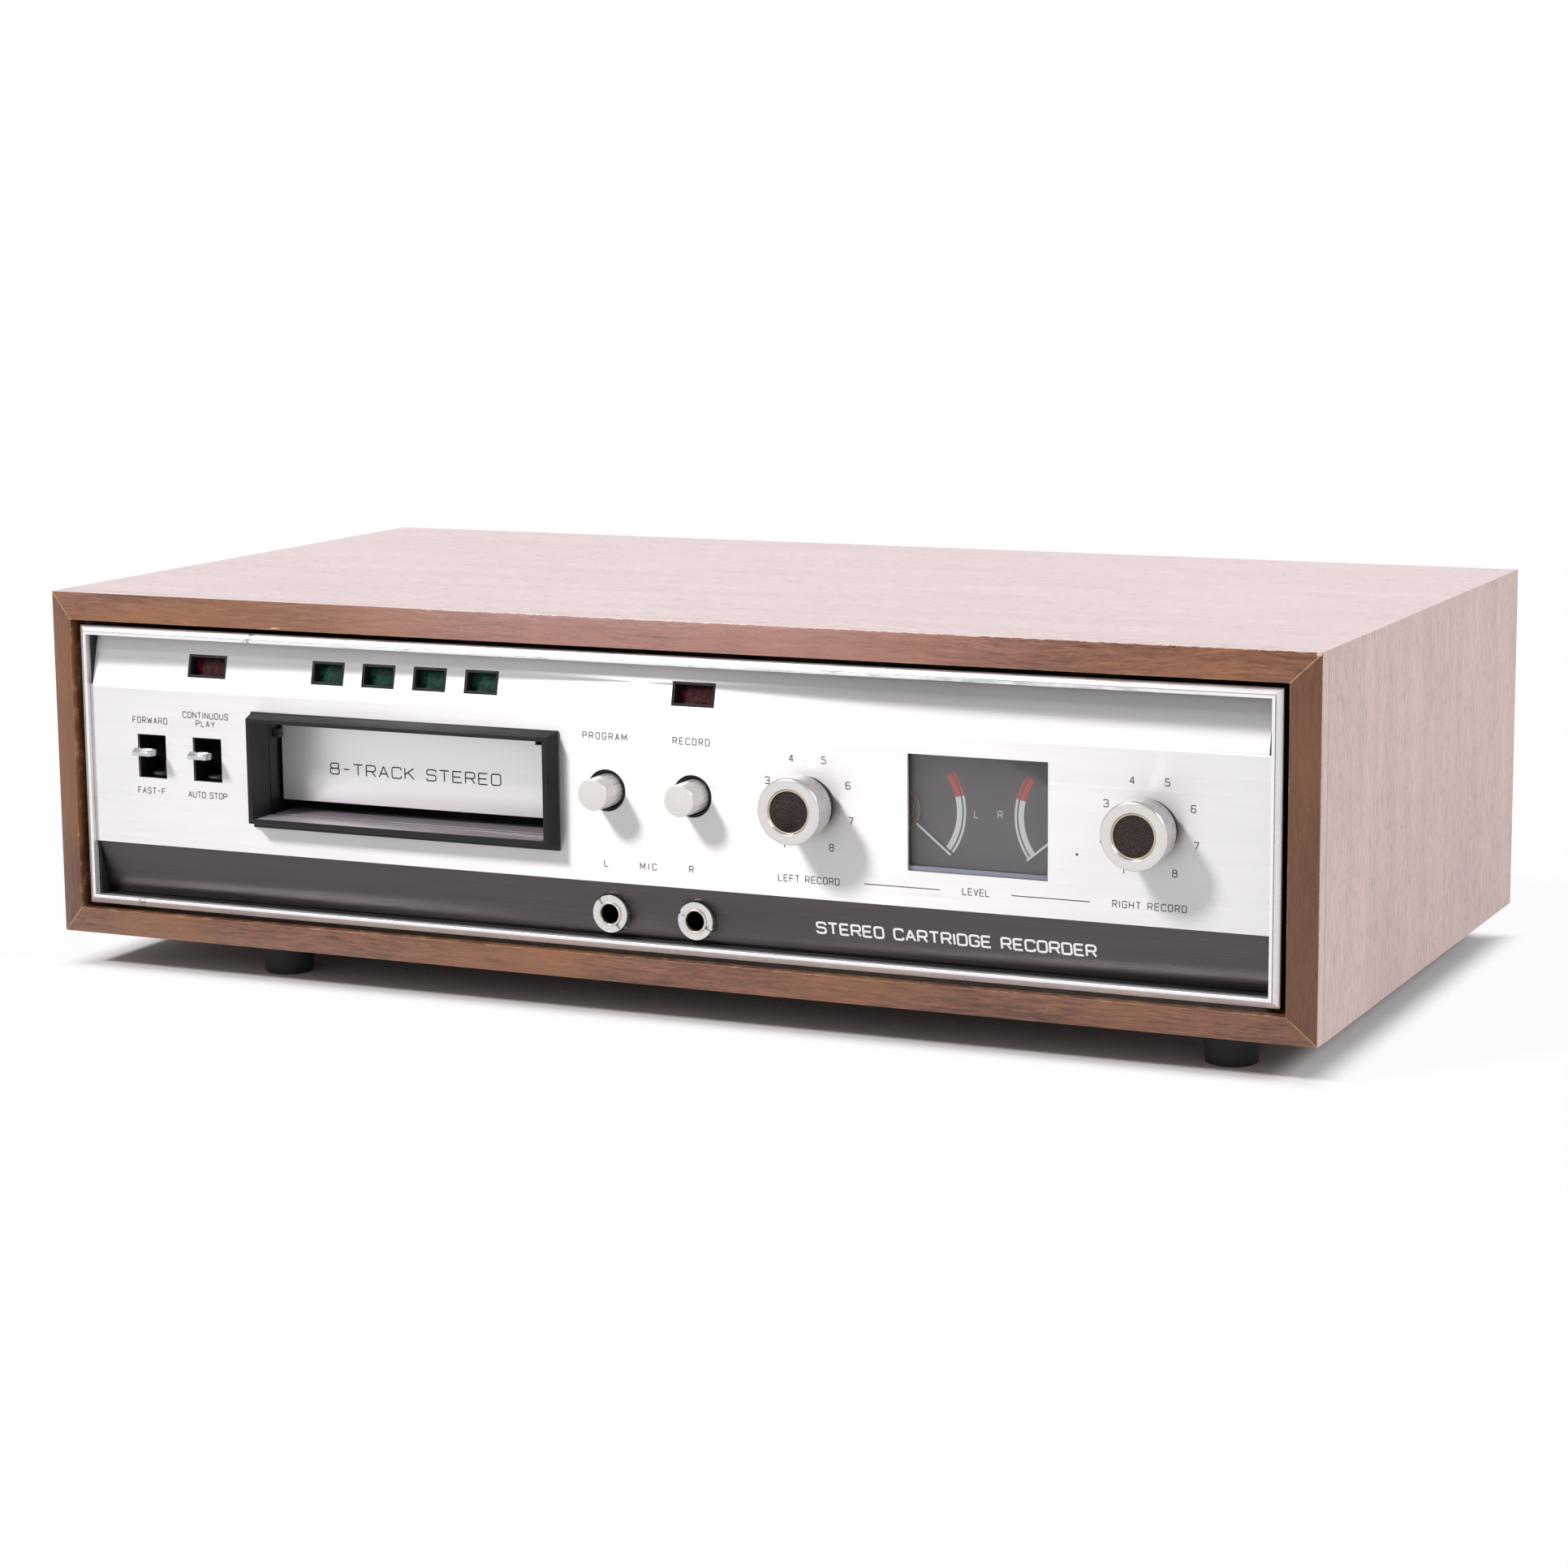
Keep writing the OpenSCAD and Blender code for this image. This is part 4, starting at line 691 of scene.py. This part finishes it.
def arc(x, z, inner, outer, start, end, y, thick, steps=48):
    """A flat arc round the point x, z, from the angle start to end, from +X towards +Z."""
    middle = (inner + outer) / 2
    pivot = place(x, y, z)
    bpy.ops.object.select_all(action="DESELECT")
    bpy.ops.mesh.primitive_plane_add(size=1.0, location=place(x + middle, y - thick / 2, z))
    piece = bpy.context.object
    piece.scale = Vector((outer - inner, thick, 1.0)) * MM
    bpy.ops.object.transform_apply(location=True, rotation=True, scale=True)
    piece.data.transform(
        Matrix.Translation(pivot)
        @ Matrix.Rotation(math.radians(-start), 4, "Y")
        @ Matrix.Translation(-pivot)
    )
    bpy.ops.object.mode_set(mode="EDIT")
    bpy.ops.mesh.select_all(action="SELECT")
    bpy.ops.mesh.spin(steps=steps, angle=math.radians(end - start), center=pivot, axis=(0, 1, 0))
    bpy.ops.mesh.select_all(action="SELECT")
    bpy.ops.mesh.remove_doubles(threshold=ARC_WELD)
    bpy.ops.mesh.normals_make_consistent(inside=False)
    bpy.ops.object.mode_set(mode="OBJECT")
    return piece


# ---- lettering --------------------------------------------------------------

# Letters as pen strokes in a cell one wide and one high. A corner is x, z, and a third
# value of 1 where the pen goes round it.
BOWL_TOP = ((0, 1), (1, 1, 1), (1, 0.46, 1), (0, 0.46))
GLYPHS = {
    "A": (((0, 0), (0.5, 1), (1, 0)), ((0.17, 0.32), (0.83, 0.32))),
    "C": (((1, 0.76), (1, 1, 1), (0, 1, 1), (0, 0, 1), (1, 0, 1), (1, 0.24)),),
    "D": (((0, 0), (0, 1), (1, 1, 1), (1, 0, 1), (0, 0)),),
    "E": (((1, 1), (0, 1), (0, 0), (1, 0)), ((0, 0.5), (0.88, 0.5))),
    "F": (((1, 1), (0, 1), (0, 0)), ((0, 0.5), (0.88, 0.5))),
    "G": (((1, 0.78), (1, 1, 1), (0, 1, 1), (0, 0, 1), (1, 0, 1), (1, 0.48), (0.55, 0.48)),),
    "H": (((0, 0), (0, 1)), ((1, 0), (1, 1)), ((0, 0.5), (1, 0.5))),
    "I": (((0.5, 0), (0.5, 1)),),
    "K": (((0, 0), (0, 1)), ((0.95, 1), (0, 0.38)), ((0.35, 0.6), (1, 0))),
    "L": (((0, 1), (0, 0), (1, 0)),),
    "M": (((0, 0), (0, 1), (0.5, 0.25), (1, 1), (1, 0)),),
    "N": (((0, 0), (0, 1), (1, 0), (1, 1)),),
    "O": (((0.5, 1), (1, 1, 1), (1, 0, 1), (0, 0, 1), (0, 1, 1), (0.5, 1)),),
    "P": (((0, 0), (0, 1)), BOWL_TOP),
    "R": (((0, 0), (0, 1)), BOWL_TOP, ((0.6, 0.46), (1, 0))),
    "S": (((1, 0.78), (1, 1, 1), (0, 1, 1), (0, 0.52, 1), (1, 0.52, 1), (1, 0, 1), (0, 0, 1), (0, 0.22)),),
    "T": (((0, 1), (1, 1)), ((0.5, 1), (0.5, 0))),
    "U": (((0, 1), (0, 0, 1), (1, 0, 1), (1, 1)),),
    "V": (((0, 1), (0.5, 0), (1, 1)),),
    "W": (((0, 1), (0.25, 0), (0.5, 0.85), (0.75, 0), (1, 1)),),
    "Y": (((0, 1), (0.5, 0.45), (1, 1)), ((0.5, 0.45), (0.5, 0))),
    "-": (((0.1, 0.5), (0.9, 0.5)),),
    "1": (((0.2, 0.75), (0.55, 1), (0.55, 0)),),
    "2": (((0, 0.8), (0, 1, 1), (1, 1, 1), (1, 0.52, 1), (0, 0.4, 1), (0, 0), (1, 0)),),
    "3": (((0, 0.85), (0, 1, 1), (1, 1, 1), (1, 0.5, 1), (0.3, 0.5)),
          ((0.5, 0.5), (1, 0.5, 1), (1, 0, 1), (0, 0, 1), (0, 0.18))),
    "4": (((0.75, 0), (0.75, 1), (0, 0.28), (1, 0.28)),),
    "5": (((0.95, 1), (0.06, 1), (0.06, 0.58), (1, 0.58, 1), (1, 0, 1), (0, 0, 1), (0, 0.18)),),
    "6": (((0.95, 0.85), (0.95, 1, 1), (0, 1, 1), (0, 0, 1), (1, 0, 1), (1, 0.55, 1), (0, 0.55)),),
    "7": (((0, 1), (1, 1), (0.35, 0)),),
    "8": (((0.5, 1), (0.95, 1, 1), (0.95, 0.53, 1), (0.05, 0.53, 1), (0.05, 1, 1), (0.5, 1)),
          ((0.5, 0.53), (1, 0.53, 1), (1, 0, 1), (0, 0, 1), (0, 0.53, 1), (0.5, 0.53))),
}
# Widths of the letters that are narrower or wider than the others
WIDTHS = {"I": 0.1, "1": 0.6, "M": 1.2, "W": 1.35, "-": 0.75, " ": 0.55, "F": 0.9, "L": 0.9, "E": 0.95}
CORNER_STEPS = 4
CORNER_ROUND = 0.24
PRINT_THICK = 0.03


def pen_paths(corners, wide, tall, turn):
    """The paths of one stroke in millimetres: round at its round corners, parted at the others."""
    spots = [Vector((c[0] * wide, c[1] * tall, 0.0)) for c in corners]
    paths = [[spots[0]]]
    for before, here, after, corner in zip(spots, spots[1:], spots[2:], corners[1:]):
        if len(corner) == 2:
            paths[-1].append(here)
            paths.append([here])
            continue
        back = (before - here).normalized() * min(turn, (before - here).length / 2)
        on = (after - here).normalized() * min(turn, (after - here).length / 2)
        for step in range(CORNER_STEPS + 1):
            t = step / CORNER_STEPS
            paths[-1].append(here + back * (1 - t) ** 2 + on * t ** 2)
    paths[-1].append(spots[-1])
    return paths


def word(text, x, y, z, cap, width=None, stroke=0.3, ratio=0.66, lean=0.0):
    """A printed word on the surface y, its middle at x and z, its letters cap millimetres high."""
    wide = ratio * cap
    letters = [WIDTHS.get(letter, 1.0) * wide for letter in text]
    gap = (width - sum(letters)) / (len(text) - 1) if width else 0.0
    curve = bpy.data.curves.new(text, "CURVE")
    curve.dimensions = "3D"
    curve.bevel_depth = stroke / 2
    curve.bevel_resolution = 1
    curve.use_fill_caps = True
    at = -(sum(letters) + gap * (len(text) - 1)) / 2
    for letter, letter_width in zip(text, letters):
        for corners in GLYPHS.get(letter, ()):
            for path in pen_paths(corners, letter_width, cap, CORNER_ROUND * cap):
                spline = curve.splines.new("POLY")
                spline.points.add(len(path) - 1)
                for point, spot in zip(spline.points, path):
                    point.co = (spot.x + at, spot.y - cap / 2, 0.0, 1.0)
        at += letter_width + gap
    piece = bpy.data.objects.new(text, curve)
    scene.collection.objects.link(piece)
    alone(piece)
    bpy.ops.object.convert(target="MESH")
    piece = bpy.context.object
    settle = (
        Matrix.Translation(place(x, y - PRINT_THICK / 2, z))
        @ Matrix.Rotation(math.radians(90 + lean), 4, "X")
        @ Matrix.Diagonal((MM, MM, MM * PRINT_THICK / stroke, 1.0))
    )
    piece.data.transform(settle)
    return piece


# ---- CAD pieces and their finishes ------------------------------------------

EASED = (
    # node, finish, rounding in millimetres
    ("cabinet_top", veneer_top, 0.0),
    ("cabinet_bottom", veneer_under, 0.0),
    ("cabinet_left", veneer_side, 0.0),
    ("cabinet_right", veneer_side, 0.0),
    ("front_lipping", front_wood, 0.25),
    ("back_panel", hardboard, 0.3),
    ("feet", rubber, 0.6),
    ("cord_grommet", rubber, 0.4),
    ("trim_rim", trim_metal, 0.12),
    ("fascia_frame", black_plastic, 0.2),
    ("lower_band", band_metal, 0.1),
    ("lamp_housing", black_plastic, 0.12),
    ("red_lenses", red_lens, 0.2),
    ("program_lenses", green_lens, 0.2),
    ("cartridge_bezel", bezel_plastic, 0.45),
    ("cartridge_door", door_metal, 0.2),
    ("cartridge_guide", bezel_plastic, 0.2),
    ("switch_bodies", soft_black, 0.3),
    ("tape_lever", black_plastic, 0.2),
    ("play_lever", black_plastic, 0.2),
    ("tape_lever_cap", chrome, 0.3),
    ("play_lever_cap", chrome, 0.3),
    ("button_switches", soft_black, 0.25),
    ("meter_case", soft_black, 0.3),
    ("meter_dial", dial_black, 0.0),
    ("meter_window", meter_cover, 0.3),
    ("mic_jacks", mic_barrel, 0.25),
    ("jack_nuts", nut_metal, 0.1),
    ("chassis", plated, 0.2),
    ("transformer", core_iron, 0.5),
    ("main_board", board_brown, 0.2),
    ("motor", plated, 0.8),
    ("solenoid", coil_paint, 0.5),
    ("phono_sockets", jack_metal, 0.25),
    ("back_screws", screw_steel, 0.0),
    ("foot_screws", screw_steel, 0.0),
    ("lamp_board", board_brown, 0.0),
    ("door_pin", screw_steel, 0.0),
    ("door_spring", screw_steel, 0.0),
    ("left_knob_core", knob_insert, 0.0),
    ("right_knob_core", knob_insert, 0.0),
    ("left_shaft", screw_steel, 0.0),
    ("right_shaft", screw_steel, 0.0),
    ("level_pots", plated, 0.0),
    ("capstan_bearing", bronze, 0.0),
    ("flywheel", wheel_metal, 0.0),
    ("motor_pulley", bronze, 0.0),
    ("drive_belt", rubber, 0.0),
    ("head_carriage", cream_plastic, 0.0),
    ("tape_head", screw_steel, 0.0),
    ("program_cam", cream_plastic, 0.0),
    ("solenoid_plunger", screw_steel, 0.0),
    ("latch_arm", plated, 0.0),
)
for node, finish, width in EASED:
    eased(node, finish, width)

# The panel's faces stay flat, and only the bend between them is round
BEND_ROUND = 0.45
eased("fascia_panel", brushed, 0.1, angle=FLAT_ANGLE, bend=(PANEL_Y, BEND_Z, BEND_ROUND))

KNOBS = (("left_knob", 58.1), ("right_knob", 168.3))
BUTTONS = (("program_button", -11.3), ("record_button", 18.7))
SPUN_COLOR = (0.78, 0.75, 0.725)
for node, x in KNOBS:
    eased(node, spun("spun aluminium, " + node, place(x, 0, CONTROL_Z), SPUN_COLOR, 0.24), 0.15)
for node, x in BUTTONS:
    eased(node, spun("spun aluminium, " + node, place(x, 0, CONTROL_Z), SPUN_COLOR, 0.26, bare=0.5), 0.35)

# The thin gilt ring round each knob's insert: its radii, its back and its thickness
GILT_R = (6.36, 6.72)
GILT_Y = -14.5
GILT_THICK = 0.35
for node, x in KNOBS:
    ring = arc(x, CONTROL_Z, *GILT_R, 0, 360, GILT_Y, GILT_THICK, steps=72)
    finished(ring, node + "_gilt_ring", gilt, node)

# ---- print on the panel -----------------------------------------------------

PANEL_WORDS = (
    # words, middle x, middle z, cap height, width
    ("FORWARD", -182.1, 74.3, 1.9, 13.5),
    ("FAST-F", -182.4, 50.6, 1.9, 10.6),
    ("CONTINUOUS", -160.1, 77.0, 1.9, 17.6),
    ("PLAY", -160.2, 74.3, 1.9, 7.2),
    ("AUTO STOP", -160.2, 50.4, 1.9, 15.0),
    ("PROGRAM", -11.6, 78.7, 2.0, 15.4),
    ("RECORD", 18.6, 78.7, 2.0, 12.6),
    ("L", -11.8, 38.2, 2.0, None),
    ("MIC", 3.1, 38.2, 2.0, 5.6),
    ("R", 18.1, 38.4, 2.0, None),
    ("LEFT RECORD", 58.25, 38.1, 2.0, 20.5),
    ("RIGHT RECORD", 168.45, 38.2, 2.0, 22.9),
    ("LEVEL", 113.5, 38.3, 2.0, 8.6),
)
# The two lines beside LEVEL: their ends and their height
LEVEL_LINES = ((76.9, 101.8), (124.9, 149.9))
LEVEL_LINE_Z = (38.05, 38.35)
LINE_EASE = 0.01
# The knobs' scales: radius, degrees from number to number, and the number straight up
SCALE_R = 15.1
SCALE_STEP = 42.4
SCALE_CAP = 2.1
SCALE_MIDDLE = 4.5
SCALE_NUMBERS = range(1, 9)

prints = [word(text, x, PANEL_Y, z, cap, width) for text, x, z, cap, width in PANEL_WORDS]
for x0, x1 in LEVEL_LINES:
    prints.append(bar(x0, x1, *LEVEL_LINE_Z, PANEL_Y, PRINT_THICK, LINE_EASE))
for _, knob_x in KNOBS:
    for number in SCALE_NUMBERS:
        turn = math.radians((number - SCALE_MIDDLE) * SCALE_STEP)
        at_x = knob_x + SCALE_R * math.sin(turn)
        at_z = CONTROL_Z + SCALE_R * math.cos(turn)
        prints.append(word(str(number), at_x, PANEL_Y, at_z, SCALE_CAP, stroke=0.32))
joined(prints, "panel_print", print_grey, "deck")

SPECK_AT = (145.7, 52.2)
SPECK_R = (0.12, 0.42)
speck = arc(*SPECK_AT, *SPECK_R, 0, 360, PANEL_Y, 0.05, steps=12)
finished(speck, "panel_speck", print_black, "deck")

# Where the words on the door and on the leaning band have their middle, then cap height and width
DOOR_WORDS_AT = (-86.65, 9.2, 60.5)
DOOR_WORDS_SIZE = (3.6, 63.9)
BAND_WORDS_AT = (105.05, 2.578, 22.6)
BAND_WORDS_SIZE = (3.5, 91.1)
BAND_LEAN = 13.2

door_words = word("8-TRACK STEREO", *DOOR_WORDS_AT, *DOOR_WORDS_SIZE, stroke=0.42, ratio=0.95)
finished(door_words, "door_print", print_black, "door")

band_words = word("STEREO CARTRIDGE RECORDER", *BAND_WORDS_AT, *BAND_WORDS_SIZE, stroke=0.75,
                  ratio=0.82, lean=BAND_LEAN)
finished(band_words, "band_print", print_silver, "deck")

# ---- meter scale ------------------------------------------------------------

DIAL_Y = 6.0
METER_Z = 61.3
# Each needle's node, its pivot's distance from the middle, and the side its arc opens to
PIVOTS = (("left_needle", 87.4, 1), ("right_needle", 143.9, -1))
# Angles where the scale starts, turns red and ends, and the radii of its two lines
ARC_LOW = -36.5
ARC_RED = 14.0
ARC_HIGH = 35.6
BAND_R = (17.7, 19.4)
LINE_R = (19.9, 20.6)
DIAL_LETTERS = (("L", 111.2, 61.0), ("R", 118.8, 61.3))
DIAL_CAP = 2.0


def dial_arc(pivot_x, side, radii, low, high):
    """An arc of the scale; side is 1 where it opens to the right and -1 to the left."""
    start, end = (low, high) if side > 0 else (180 - high, 180 - low)
    return arc(pivot_x, METER_Z, *radii, start, end, DIAL_Y, PRINT_THICK)


whites, reds = [], []
for _, pivot_x, side in PIVOTS:
    for radii in (BAND_R, LINE_R):
        whites.append(dial_arc(pivot_x, side, radii, ARC_LOW, ARC_RED))
        reds.append(dial_arc(pivot_x, side, radii, ARC_RED, ARC_HIGH))
for letter, x, z in DIAL_LETTERS:
    whites.append(word(letter, x, DIAL_Y, z, DIAL_CAP, stroke=0.22))
joined(whites, "dial_print", print_white, "deck")
joined(reds, "dial_red", print_red, "deck")

for node, pivot_x, _ in PIVOTS:
    eased(node, meter_pointer("pointer paint, " + node, place(pivot_x, 0, METER_Z)), 0.0)

# The cover's polished lower edge, seen through the opening in the panel, a bar whose bluish colour is a
# painted reflection: its ends, its heights, its back and its thickness
COVER_EDGE = (91.0, 136.8, 43.1, 44.7, 1.55, 0.9)
finished(bar(*COVER_EDGE, ease=0.35), "meter_cover_edge", cover_edge_reflection, "deck")

# ---- inside the lever openings ----------------------------------------------

LEVER_XS = (-181.65, -159.85)
REST_Y = 8.0
REST_Z = 55.6
REST_R = 5.0
REST_THICK = 1.0
# The leaf's ends, heights, back and thickness
LEAF = (-182.5, -181.4, 55.2, 59.6, 8.4, 0.3)
finished(bar(*LEAF, ease=0.08), "contact_leaf", bronze, "deck")


def guide_disc(x, name):
    """A shallow round rest below a lever, its top edge rounded."""
    bpy.ops.object.select_all(action="DESELECT")
    bpy.ops.mesh.primitive_cylinder_add(
        vertices=48, radius=REST_R * MM, depth=REST_THICK * MM, location=place(x, REST_Y, REST_Z)
    )
    piece = bpy.context.object
    rounded_edges(piece, 0.3, segments=3)
    bpy.ops.object.shade_smooth_by_angle(angle=math.radians(SHARP_ANGLE))
    return finished(piece, name, rest_grey, "deck")


guide_disc(LEVER_XS[0], "tape_lever_rest")
guide_disc(LEVER_XS[1], "play_lever_rest")

# ---- the sill of the slot ---------------------------------------------------

# A thin liner that carries the sill, with its painted light, on under the door: its ends, heights, back
# and length
LINER_HALF = 51.5
LINER = (SLOT_X - LINER_HALF, SLOT_X + LINER_HALF, 45.02, 45.3, 16.0, 12.85)
finished(bar(*LINER, ease=0.08), "slot_liner", bezel_plastic, "deck")

# ---- camera, floor and light ------------------------------------------------

# The camera's place from the cabinet's middle, front edge and underside, and its axes
CAMERA_AT = Vector((517.84, -1006.99, 254.97))
CAMERA_RIGHT = Vector((0.90747, 0.42001, -0.0092))
CAMERA_UP = Vector((-0.06178, 0.15508, 0.98597))
CAMERA_AHEAD = Vector((-0.41554, 0.89417, -0.16668))
camera_data = bpy.data.cameras.new("camera")
camera_data.lens = 84.295
camera_data.sensor_width = 36.0
camera_data.sensor_fit = "HORIZONTAL"
camera = bpy.data.objects.new("camera", camera_data)
scene.collection.objects.link(camera)
turn = Matrix((CAMERA_RIGHT, CAMERA_UP, -CAMERA_AHEAD)).transposed().to_4x4()
camera.matrix_world = Matrix.Translation(place(*CAMERA_AT)) @ turn
scene.camera = camera


# How far inside and outside the deck's outline the floor turns plain white, and how far it does
SHADOW_GIVES_WAY = (-8.0, 6.0)
WHITE_SHARE = 0.93


def white_floor(name):
    """Matt white by the deck, where it keeps the shadow, and plain white further out."""
    made = Finish(name, Base_Color=(0.86, 0.855, 0.86, 1.0), Roughness=1.0)
    made.shader.inputs["Specular IOR Level"].default_value = 0.0
    x, y, _ = made.axes(made.spot(place(0, CABINET_D / 2, 0)))
    gap = (abs(x) - CABINET_W / 2).larger(abs(y) - CABINET_D / 2)
    rays = made.tree.nodes.new("ShaderNodeLightPath")
    straight = Wire(made, rays.outputs["Is Camera Ray"])
    straight = straight.larger(Wire(made, rays.outputs["Is Glossy Ray"]))
    straight = straight.larger(Wire(made, rays.outputs["Is Transmission Ray"]))
    share = gap.ramp(*SHADOW_GIVES_WAY) * WHITE_SHARE * straight
    white = made.tree.nodes.new("ShaderNodeEmission")
    blend = made.tree.nodes.new("ShaderNodeMixShader")
    made.tree.links.new(share.socket, blend.inputs[0])
    made.tree.links.new(made.shader.outputs[0], blend.inputs[1])
    made.tree.links.new(white.outputs[0], blend.inputs[2])
    made.tree.links.new(blend.outputs[0], made.tree.nodes["Material Output"].inputs["Surface"])
    return made


FLOOR_SIZE = 60.0
bpy.ops.object.select_all(action="DESELECT")
bpy.ops.mesh.primitive_plane_add(size=FLOOR_SIZE, location=(0.0, 0.0, 0.0))
floor = bpy.context.object
floor.name = "floor"
floor.data.materials.append(white_floor("white floor").material)


def sun(name, towards, energy, spread, color):
    """A far soft light that comes from a direction."""
    data = bpy.data.lights.new(name, "SUN")
    data.energy = energy
    data.angle = math.radians(spread)
    data.color = color
    lamp = bpy.data.objects.new(name, data)
    scene.collection.objects.link(lamp)
    lamp.rotation_euler = Vector(towards).to_track_quat("Z", "Y").to_euler()


# name, direction it comes from, energy, spread in degrees, colour
sun("key light", (-7.5, -9.6, 11.5), 2.1, 10.0, (1.0, 0.985, 0.97))
sun("right hand light", (7.5, -1.5, 6.0), 1.35, 18.0, (0.99, 0.99, 1.0))

# What metal shows turns from white to the ceiling's grey between these heights of a ray
CEILING_FROM = 0.05
CEILING_TO = 0.75
CEILING = ((0.92, 0.93, 1.0), 0.45)
FILL = ((0.97, 0.97, 1.0), 0.42)
WHITE = ((1.0, 1.0, 1.0), 1.0)


def white_room(name):
    """A world that is white where it is seen, and greyer overhead where metal shows it."""
    world = bpy.data.worlds.new(name)
    world.use_nodes = True
    nodes = world.node_tree.nodes
    links = world.node_tree.links

    def backdrop(color, strength):
        made = nodes.new("ShaderNodeBackground")
        made.inputs["Color"].default_value = (*color, 1.0)
        made.inputs["Strength"].default_value = strength
        return made.outputs[0]

    def either(factor, first, second):
        made = nodes.new("ShaderNodeMixShader")
        for index, socket in enumerate((factor, first, second)):
            links.new(socket, made.inputs[index])
        return made.outputs[0]

    rays = nodes.new("ShaderNodeLightPath")
    direction = nodes.new("ShaderNodeTexCoord")
    parts = nodes.new("ShaderNodeSeparateXYZ")
    links.new(direction.outputs["Generated"], parts.inputs[0])
    height = nodes.new("ShaderNodeMapRange")
    height.inputs["From Min"].default_value = CEILING_FROM
    height.inputs["From Max"].default_value = CEILING_TO
    links.new(parts.outputs[2], height.inputs["Value"])
    white = backdrop(*WHITE)
    shown = either(height.outputs[0], white, backdrop(*CEILING))
    lit = either(rays.outputs["Is Glossy Ray"], backdrop(*FILL), shown)
    straight = nodes.new("ShaderNodeMath")
    straight.operation = "MAXIMUM"
    links.new(rays.outputs["Is Camera Ray"], straight.inputs[0])
    links.new(rays.outputs["Is Transmission Ray"], straight.inputs[1])
    links.new(either(straight.outputs[0], lit, white), nodes["World Output"].inputs["Surface"])
    return world


scene.world = white_room("white room")

scene.view_settings.view_transform = "Standard"
